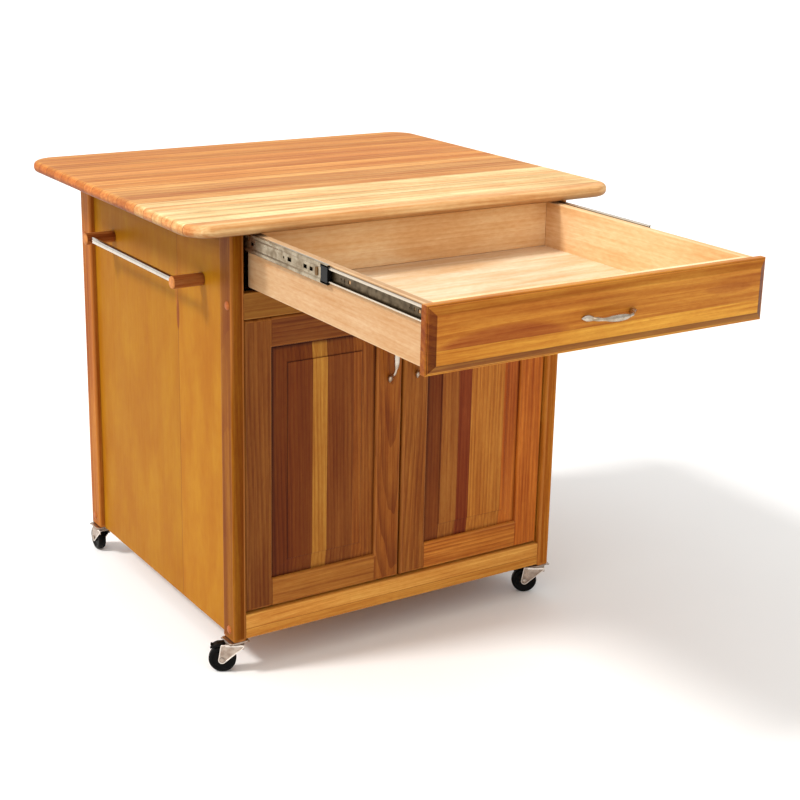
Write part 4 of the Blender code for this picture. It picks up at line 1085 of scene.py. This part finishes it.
for side, inward in hands:
    body = f"door_{side}"
    members = ("hinge_stile", "lock_stile", "top_rail", "bottom_rail")
    boxes = {m: corners(f"door_{side}_{m}") for m in members}
    outer = (np.min([b[0] for b in boxes.values()], 0), np.max([b[1] for b in boxes.values()], 0))
    leftStile, rightStile = ("hinge_stile", "lock_stile") if side == "left" else ("lock_stile", "hinge_stile")
    opening = (
        np.array([boxes[leftStile][1][0], 0, boxes["bottom_rail"][1][2]]),
        np.array([boxes[rightStile][0][0], 0, boxes["top_rail"][0][2]])
    )
    front, back = outer[0][1], outer[1][1]
    for k, member in enumerate(members):
        low, high = boxes[member]
        upright = "stile" in member
        # stained birch under lacquer: strong figure, both edges rubbed paler
        finish = woodFinish(f"lacqueredBirchDoor{side.title()}{member.title().replace('_', '')}", {
            "grain": "z" if upright else "x", "staves": "x" if upright else "z",
            "edges": [low[0 if upright else 2], high[0 if upright else 2]],
            "tints": [doorLook["frameTints"][side][member]], "seed": k + 3 * (side == "right"),
            "streak": (120, 1.9), "streakAmount": 0.7, "streakTone": "#C49A70", "broad": (330, 11),
            "broadTone": "#B98A58", "broadAmount": 0.6, "ring": 8.5, "ringAmount": 0.6,
            "ringTone": "#A8744A", "pith": (0.02, 0.02, 0.07), "waver": 8.0, "rough": 0.33, "wear": 0.45,
            "wearTone": "#C48040", "endTone": "#B08050", "jointAmount": 0.0
        })
        shell = doorMember(low, high, outer, opening, front, back)
        makePiece(
            f"door{side.title()}{member.title().replace('_', '')}", shell, body, finish,
            [f"door_{side}_{member}"], sharp=50
        )
    edges = [cabinetZero[0] + v for v in doorLook["stripEdges"][side]]
    # glued strips of dark and light birch under lacquer: each keeps its own tone right to the joint
    panelFinish = woodFinish(f"gluedBirchPanel{side.title()}", {
        "grain": "z", "staves": "x", "edges": edges, "tints": doorLook["stripTints"][side],
        "seed": 1 + (side == "right"), "streak": (150, 1.9), "streakTone": "#C89E74", "streakAmount": 0.6,
        "broad": (420, 12), "broadTone": "#BE9060", "broadAmount": 0.5, "ring": 8.0, "ringAmount": 0.5,
        "ringTone": "#B07C50", "pith": (0.03, 0.02, 0.05), "waver": 7.0, "rough": 0.34,
        "jointAmount": 0.25, "joint": 0.0007
    })
    low, high = corners(f"door_{side}_panel")
    tongue, field = front + doorLook["tongue"], front + doorLook["field"]
    reach = opening[0][0] - low[0]
    wide = doorLook["bevel"]
    foot = field + doorLook["fieldStep"]
    # third column: painted shade, darkest in the recess beside the frame and along the field's edge
    panelSteps = [
        (0, tongue + 0.0052, 0), (0, tongue, -0.9), (reach + 0.0022, tongue, -0.95),
        (reach + 0.0036, tongue - 0.0003, -0.7), (reach + 0.0085, tongue - 0.0008, -0.15),
        (reach + wide - 0.0030, foot + 0.0007, -0.08),
        (reach + wide - 0.0006, foot + 0.0003, -0.5),
        (reach + wide, foot, -0.8), (reach + wide, field + 0.0004, -0.8),
        (reach + wide + 0.0003, field + 0.0001, -0.3), (reach + wide + 0.0012, field, 0)
    ]
    panel = shapedPanel(low, high, panelSteps, doorLook["lowerPaintedShade"], doorLook["upperPaintedShade"])
    makePiece(
        f"door{side.title()}Panel", panel, body, panelFinish, [f"door_{side}_panel"],
        sharp=5
    )
    low, high = corners(f"door_{side}_pull")
    makePiece(
        f"door{side.title()}Pull",
        archPull(
            ((low[0] + high[0]) / 2, front, (low[2] + high[2]) / 2), (0, 0, 1), (1, 0, 0),
            (high[2] - low[2]) / 2
        ),
        body, satinNickel, [f"door_{side}_pull"], sharp=60
    )
    # hinge cups let into the back of the door beside each arm
    cups = []
    for level in ("lower", "upper"):
        armLow, armHigh = corners(f"hinge_arm_{side}_{level}")
        wall = armLow[0] if side == "left" else armHigh[0]
        cupAt = (wall + inward * doorLook["cupIn"], back, (armLow[2] + armHigh[2]) / 2)
        cups.append(turned(doorLook["cup"], cupAt, (0, 1, 0), 36))
        dressNode(f"hinge_arm_{side}_{level}", zincSlide)
    makePiece(f"hingeCups{side.title()}", gathered(*cups), body, zincSlide)
print("doors made")

# Casters: square plate and ball race, stamped fork, moulded wheel on a riveted axle, toothed brake
casterLook = {
    "sheet": 0.0022,
    "rimWidth": 0.0017,
    "rimRise": 0.0008,
    "tip": 0.0074,  # radius of the fork leg's lower end
    "shoulder": 0.0036,  # radius of its two upper corners
    "topBack": 0.0235,  # how far back along the trail the fork's upper corner reaches
    "topFore": 0.0134,  # how far the other corner's centre lies ahead of the swivel
    "halfTread": 0.0085,
    "legGap": 0.0013,  # from the tread's side to the leg's inner face
    "plateCorner": 0.006,
    "plateThick": 0.0025,
    "plateEase": 0.0005,
    "screwAt": 0.0176,
    "screwHead": 0.0034,
    "shank": 0.0029,  # radius of the axle
    "brakeEase": 0.0012,
    # the ball race's section: depth below the plate, radius
    "race": [
        (-0.0002, 0.0120), (0.0, 0.0200), (0.0010, 0.0203), (0.0020, 0.0192), (0.0026, 0.0178),
        (0.0033, 0.0176), (0.0036, 0.0186), (0.0044, 0.0184), (0.0054, 0.0160), (0.0058, 0.0120),
    ],
    # the axle head's section: height above the fork leg, radius
    "head": [
        (-0.0030, 0.0029), (0.0, 0.0029), (0.00002, 0.0050), (0.0006, 0.0050), (0.0013, 0.0040),
        (0.0017, 0.0022),
    ],
}
# stamped steel with bright zinc: a mottled silver, the raised rims and bends painted nearly white as
# highlights
zincFork = metalFinish("brightZincStamping", {
    "lines": (9, 9, 9), "tint": "#BFB1A4", "dull": "#A08F82", "wearAndPaintedLight": "#EFE6DC", "rough": 0.24,
    "vary": 0.14, "lineAmount": 0.2, "cloud": 110.0
})
# moulded nylon: black, with a dull bloom here and there
blackNylon = plasticFinish("mouldedBlackNylon", {
    "grit": 0.7, "tint": "#060504", "dull": "#120D09", "rough": 0.46, "dust": 0.4, "sheen": 0.10
})
for place in ("front_left", "front_right", "rear_left", "rear_right"):
    label = place.title().replace("_", "")
    axis = np.array(joints[f"wheel_roll_{place}"]["axis"], float)
    axle = np.array(joints[f"wheel_roll_{place}"]["pos_m"], float)
    swivel = np.array(joints[f"swivel_{place}"]["pos_m"], float)
    trailing = np.array([axis[1], -axis[0], 0])
    trail = float((axle - swivel) @ trailing)
    origin = np.array([swivel[0], swivel[1], 0])

    def local(p):
        # (along the trail, across, height) to the cart's frame
        p = np.asarray(p, float)
        raised = p[..., 2, None] * np.array((0, 0, 1.0))
        return origin + p[..., 0, None] * trailing + p[..., 1, None] * axis + raised

    plateLow, plateHigh = corners(f"caster_plate_{place}")
    top = corners(f"caster_fork_{place}")[1][2]
    radius = axle[2]
    halfTread = casterLook["halfTread"]
    gauge = halfTread + casterLook["legGap"]  # inner face of each fork leg
    sheet = casterLook["sheet"]
    # plate and race
    plateTop = plateHigh[2]
    down = plateTop - casterLook["plateThick"]
    t = np.radians(np.linspace(0, 90, 4))
    drawIn, climb = casterLook["plateEase"] * (1 - np.sin(t)), casterLook["plateEase"] * (1 - np.cos(t))
    plate, _ = roundedStack(
        plateLow[:2], plateHigh[:2], casterLook["plateCorner"],
        np.concatenate([[0.0012], drawIn, drawIn[::-1], [0.0012]]),
        np.concatenate([[plateTop], plateTop - climb, down + climb[::-1], [down]]), 2
    )
    race = turned(casterLook["race"], (swivel[0], swivel[1], down), (0, 0, -1), 36)
    screws = []
    panHead = np.concatenate([[[-0.0002, casterLook["screwHead"]]], dome(casterLook["screwHead"], 0.0016, 4)])
    for a in (-casterLook["screwAt"], casterLook["screwAt"]):
        for b in (-casterLook["screwAt"], casterLook["screwAt"]):
            screws.append(turned(panHead, (swivel[0] + a, swivel[1] + b, down), (0, 0, -1), 14))
    makePiece(
        f"casterPlate{label}", gathered(skin(plate), race, *screws), "cabinet", zincFork,
        [f"caster_plate_{place}"]
    )
    # fork: two leaf-shaped legs with a raised rim, and a crown bent down into them
    bend = casterLook["shoulder"]
    centres = [(trail, radius), (casterLook["topBack"], top - bend), (-casterLook["topFore"], top - bend)]
    radii = [casterLook["tip"], bend, bend]
    rimWidth, rimRise = casterLook["rimWidth"], casterLook["rimRise"]
    legs = []
    for hand in (-1, 1):
        rings = [
            (0.0020, gauge), (0.0003, gauge), (0.0, gauge + 0.0003), (0.0, gauge + sheet - 0.0004),
            (0.0003, gauge + sheet), (rimWidth, gauge + sheet),
            (rimWidth + 0.0006, gauge + sheet - rimRise), (rimWidth + 0.0016, gauge + sheet - rimRise)
        ]
        loops = []
        for inset, out in rings:
            flat = hullOutline(centres, radii, inset)
            loops.append(local(np.stack([flat[:, 0], np.full(len(flat), hand * out), flat[:, 1]], -1)))
        # painted highlight on the raised rim rows
        legs.append(skin(np.array(loops), np.repeat([0, 0, 0, 1, 1, 1, 0, 0], 72)))
    mid = gauge + sheet / 2
    line = bentLine(
        [(-mid, top - 0.009), (-mid, top - sheet / 2), (mid, top - sheet / 2), (mid, top - 0.009)],
        0.0034, 6
    )
    # painted highlight along the crown's bends
    bent = (np.abs(np.abs(line[:, 0]) - mid) < 0.0030) & (line[:, 1] > top - 0.0045)
    crown = pressedStrip(
        line, np.array([-0.0168, -0.0160, 0.0, 0.0172, 0.0178]), sheet - 0.0002,
        lambda p: local(np.stack([p[:, 2], p[:, 0], p[:, 1]], -1)), None, bent
    )
    makePiece(
        f"casterFork{label}", gathered(*legs, crown), f"caster_{place}", zincFork,
        [f"caster_fork_{place}"], sharp=50
    )
    # wheel: crowned tread with soft shoulders, dished sides with a raised hub
    side = np.array([
        (halfTread + 0.0009, 0.0031), (halfTread + 0.0009, 0.0062), (halfTread + 0.0004, 0.0074),
        (halfTread - 0.0022, 0.0084), (halfTread - 0.0028, 0.0110), (halfTread - 0.0028, 0.0168),
        (halfTread - 0.0018, 0.0186), (halfTread - 0.0003, 0.0196), (halfTread, 0.0206),
        (halfTread - 0.0001, 0.0228), (halfTread - 0.0008, radius - 0.0018),
        (halfTread - 0.0020, radius - 0.0006), (halfTread - 0.0038, radius - 0.00012),
        (0.0028, radius - 0.00002),
    ])
    wheelShape = np.concatenate([side, [(0.0, radius)], side[::-1] * (-1, 1)])
    makePiece(
        f"casterWheel{label}", turned(wheelShape, axle, axis, 56), f"wheel_{place}",
        blackNylon, [f"caster_wheel_{place}"], sharp=45
    )
    outside = gauge + sheet + 0.0001
    heads = [turned(casterLook["head"], axle + hand * outside * axis, hand * axis, 20) for hand in (-1, 1)]
    shaft = turned([(-mid, casterLook["shank"]), (mid, casterLook["shank"])], axle, axis, 20)
    makePiece(f"casterAxle{label}", gathered(*heads, shaft), f"wheel_{place}", zincFork)
    # brake: a rounded black tongue over the back of the wheel with two ridges for the toe
    wide = gauge - 0.0006
    t = np.radians(np.linspace(0, 90, 4))
    drawIn, climb = casterLook["brakeEase"] * (1 - np.sin(t)), casterLook["brakeEase"] * (1 - np.cos(t))
    inset = np.concatenate([[0.0022], drawIn, drawIn[::-1], [0.0022]])
    out = np.concatenate([[-wide], -wide + climb, wide - climb[::-1], [wide]])
    shells = []
    for spots, radii, narrow in (
        (
            [(trail - 0.0028, 0.0560), (trail + 0.0090, 0.0553), (trail + 0.0160, 0.0520)],
            (0.0020, 0.0024, 0.0022), 1.0
        ),
        ([(trail + 0.0160, 0.0525), (trail + 0.0205, 0.0545)], (0.0018, 0.0016), 0.42),
        ([(trail + 0.0165, 0.0500), (trail + 0.0212, 0.0475)], (0.0018, 0.0016), 0.42)
    ):
        loops = []
        for d, v in zip(inset, out):
            flat = hullOutline(spots, radii, min(d, min(radii) - 0.0002), 40)
            loops.append(local(np.stack([flat[:, 0], np.full(len(flat), v * narrow), flat[:, 1]], -1)))
        shells.append(skin(np.array(loops)))
    makePiece(
        f"casterBrake{label}", gathered(*shells), f"brake_{place}", blackNylon,
        [f"brake_lever_{place}"], sharp=50
    )
print("casters made")

# Floor and light: a pale seamless sweep, a soft key from the upper left, white walls all round
floorLook = {"size": 60.0, "tint": "#F2F1EF"}
floorMesh = bpy.data.meshes.new("studioFloor")
half = floorLook["size"] / 2
floorMesh.from_pydata(
    [(-half, -half, 0), (half, -half, 0), (half, half, 0), (-half, half, 0)], [], [(0, 1, 2, 3)]
)
# matt paper: nearly white, so that only a faint shadow shows
floorMaterial, tree, shader, place = cleared("mattPaperSweep")
fibre = addNode(tree, "ShaderNodeTexNoise", {"Vector": place.outputs["Object"], "Scale": 3.0, "Detail": 2.0})
paper = addNode(
    tree, "ShaderNodeMix", {0: fibre.outputs["Fac"], 6: linear(floorLook["tint"]), 7: linear("#F6F5F3")},
    data_type="RGBA"
)
tree.links.new(paper.outputs[2], shader.inputs["Base Color"])
shader.inputs["Roughness"].default_value = 0.9
floorMesh.materials.append(floorMaterial)
studioFloor = bpy.data.objects.new("studioFloor", floorMesh)
bpy.context.scene.collection.objects.link(studioFloor)

lightLook = {
    "dim": 0.42, "bright": 1.20, "brightSide": (-0.62, 0.20, 0.76), "key": 2.3, "keySpread": 11,
    "keyFrom": (-0.66, 0.16, 0.75)
}
world = bpy.data.worlds.new("studio")
bpy.context.scene.world = world
world.use_nodes = True
tree = world.node_tree
tree.nodes.clear()
gaze = addNode(tree, "ShaderNodeTexCoord")
facing = addNode(
    tree, "ShaderNodeVectorMath", {0: gaze.outputs["Generated"], 1: lightLook["brightSide"]},
    operation="DOT_PRODUCT"
)
fade = addNode(tree, "ShaderNodeMapRange", {
    "Value": facing.outputs["Value"], "From Min": -1.0, "From Max": 1.0, "To Min": lightLook["dim"],
    "To Max": lightLook["bright"]
})
glow = addNode(tree, "ShaderNodeBackground", {"Color": linear("#FFFFFF"), "Strength": fade.outputs[0]})
addNode(tree, "ShaderNodeOutputWorld", {"Surface": glow.outputs[0]})
keyData = bpy.data.lights.new("softKey", "SUN")
keyData.energy = lightLook["key"]
keyData.angle = math.radians(lightLook["keySpread"])
keyData.color = linear("#FFFEFC")[:3]
key = bpy.data.objects.new("softKey", keyData)
away = np.array(lightLook["keyFrom"]) / np.linalg.norm(lightLook["keyFrom"])
key.rotation_mode = "QUATERNION"
key.rotation_quaternion = Vector(away).to_track_quat("Z", "Y")
key.location = Vector(away * 4)
bpy.context.scene.collection.objects.link(key)
bpy.context.scene.view_settings.view_transform = "Standard"

# Camera: a little above the top, to the left of the drawer, with a slight roll
cameraLook = {
    "at": (-1.5680, -2.4484, 1.4153), "azimuth": -32.763, "elevation": 17.299, "roll": 1.217,
    "lens": 71.39, "shift": (0.0136, -0.0286)
}
az, el, roll = (math.radians(cameraLook[key]) for key in ("azimuth", "elevation", "roll"))
back = np.array((math.sin(az) * math.cos(el), -math.cos(az) * math.cos(el), math.sin(el)))
right = np.cross(-back, (0, 0, 1))
right /= np.linalg.norm(right)
up = np.cross(right, -back)
level = (right * math.cos(roll) + up * math.sin(roll), -right * math.sin(roll) + up * math.cos(roll), back)
cameraData = bpy.data.cameras.new("camera")
cameraData.sensor_width = 36
cameraData.lens = cameraLook["lens"]
cameraData.shift_x, cameraData.shift_y = cameraLook["shift"]
cameraData.clip_end = 100
camera = bpy.data.objects.new("camera", cameraData)
view = np.eye(4)
view[:3, :3] = np.stack(level, -1)
view[:3, 3] = cameraLook["at"]
camera.matrix_world = Matrix(view.tolist())
bpy.context.scene.collection.objects.link(camera)
bpy.context.scene.camera = camera
print("light and camera set")
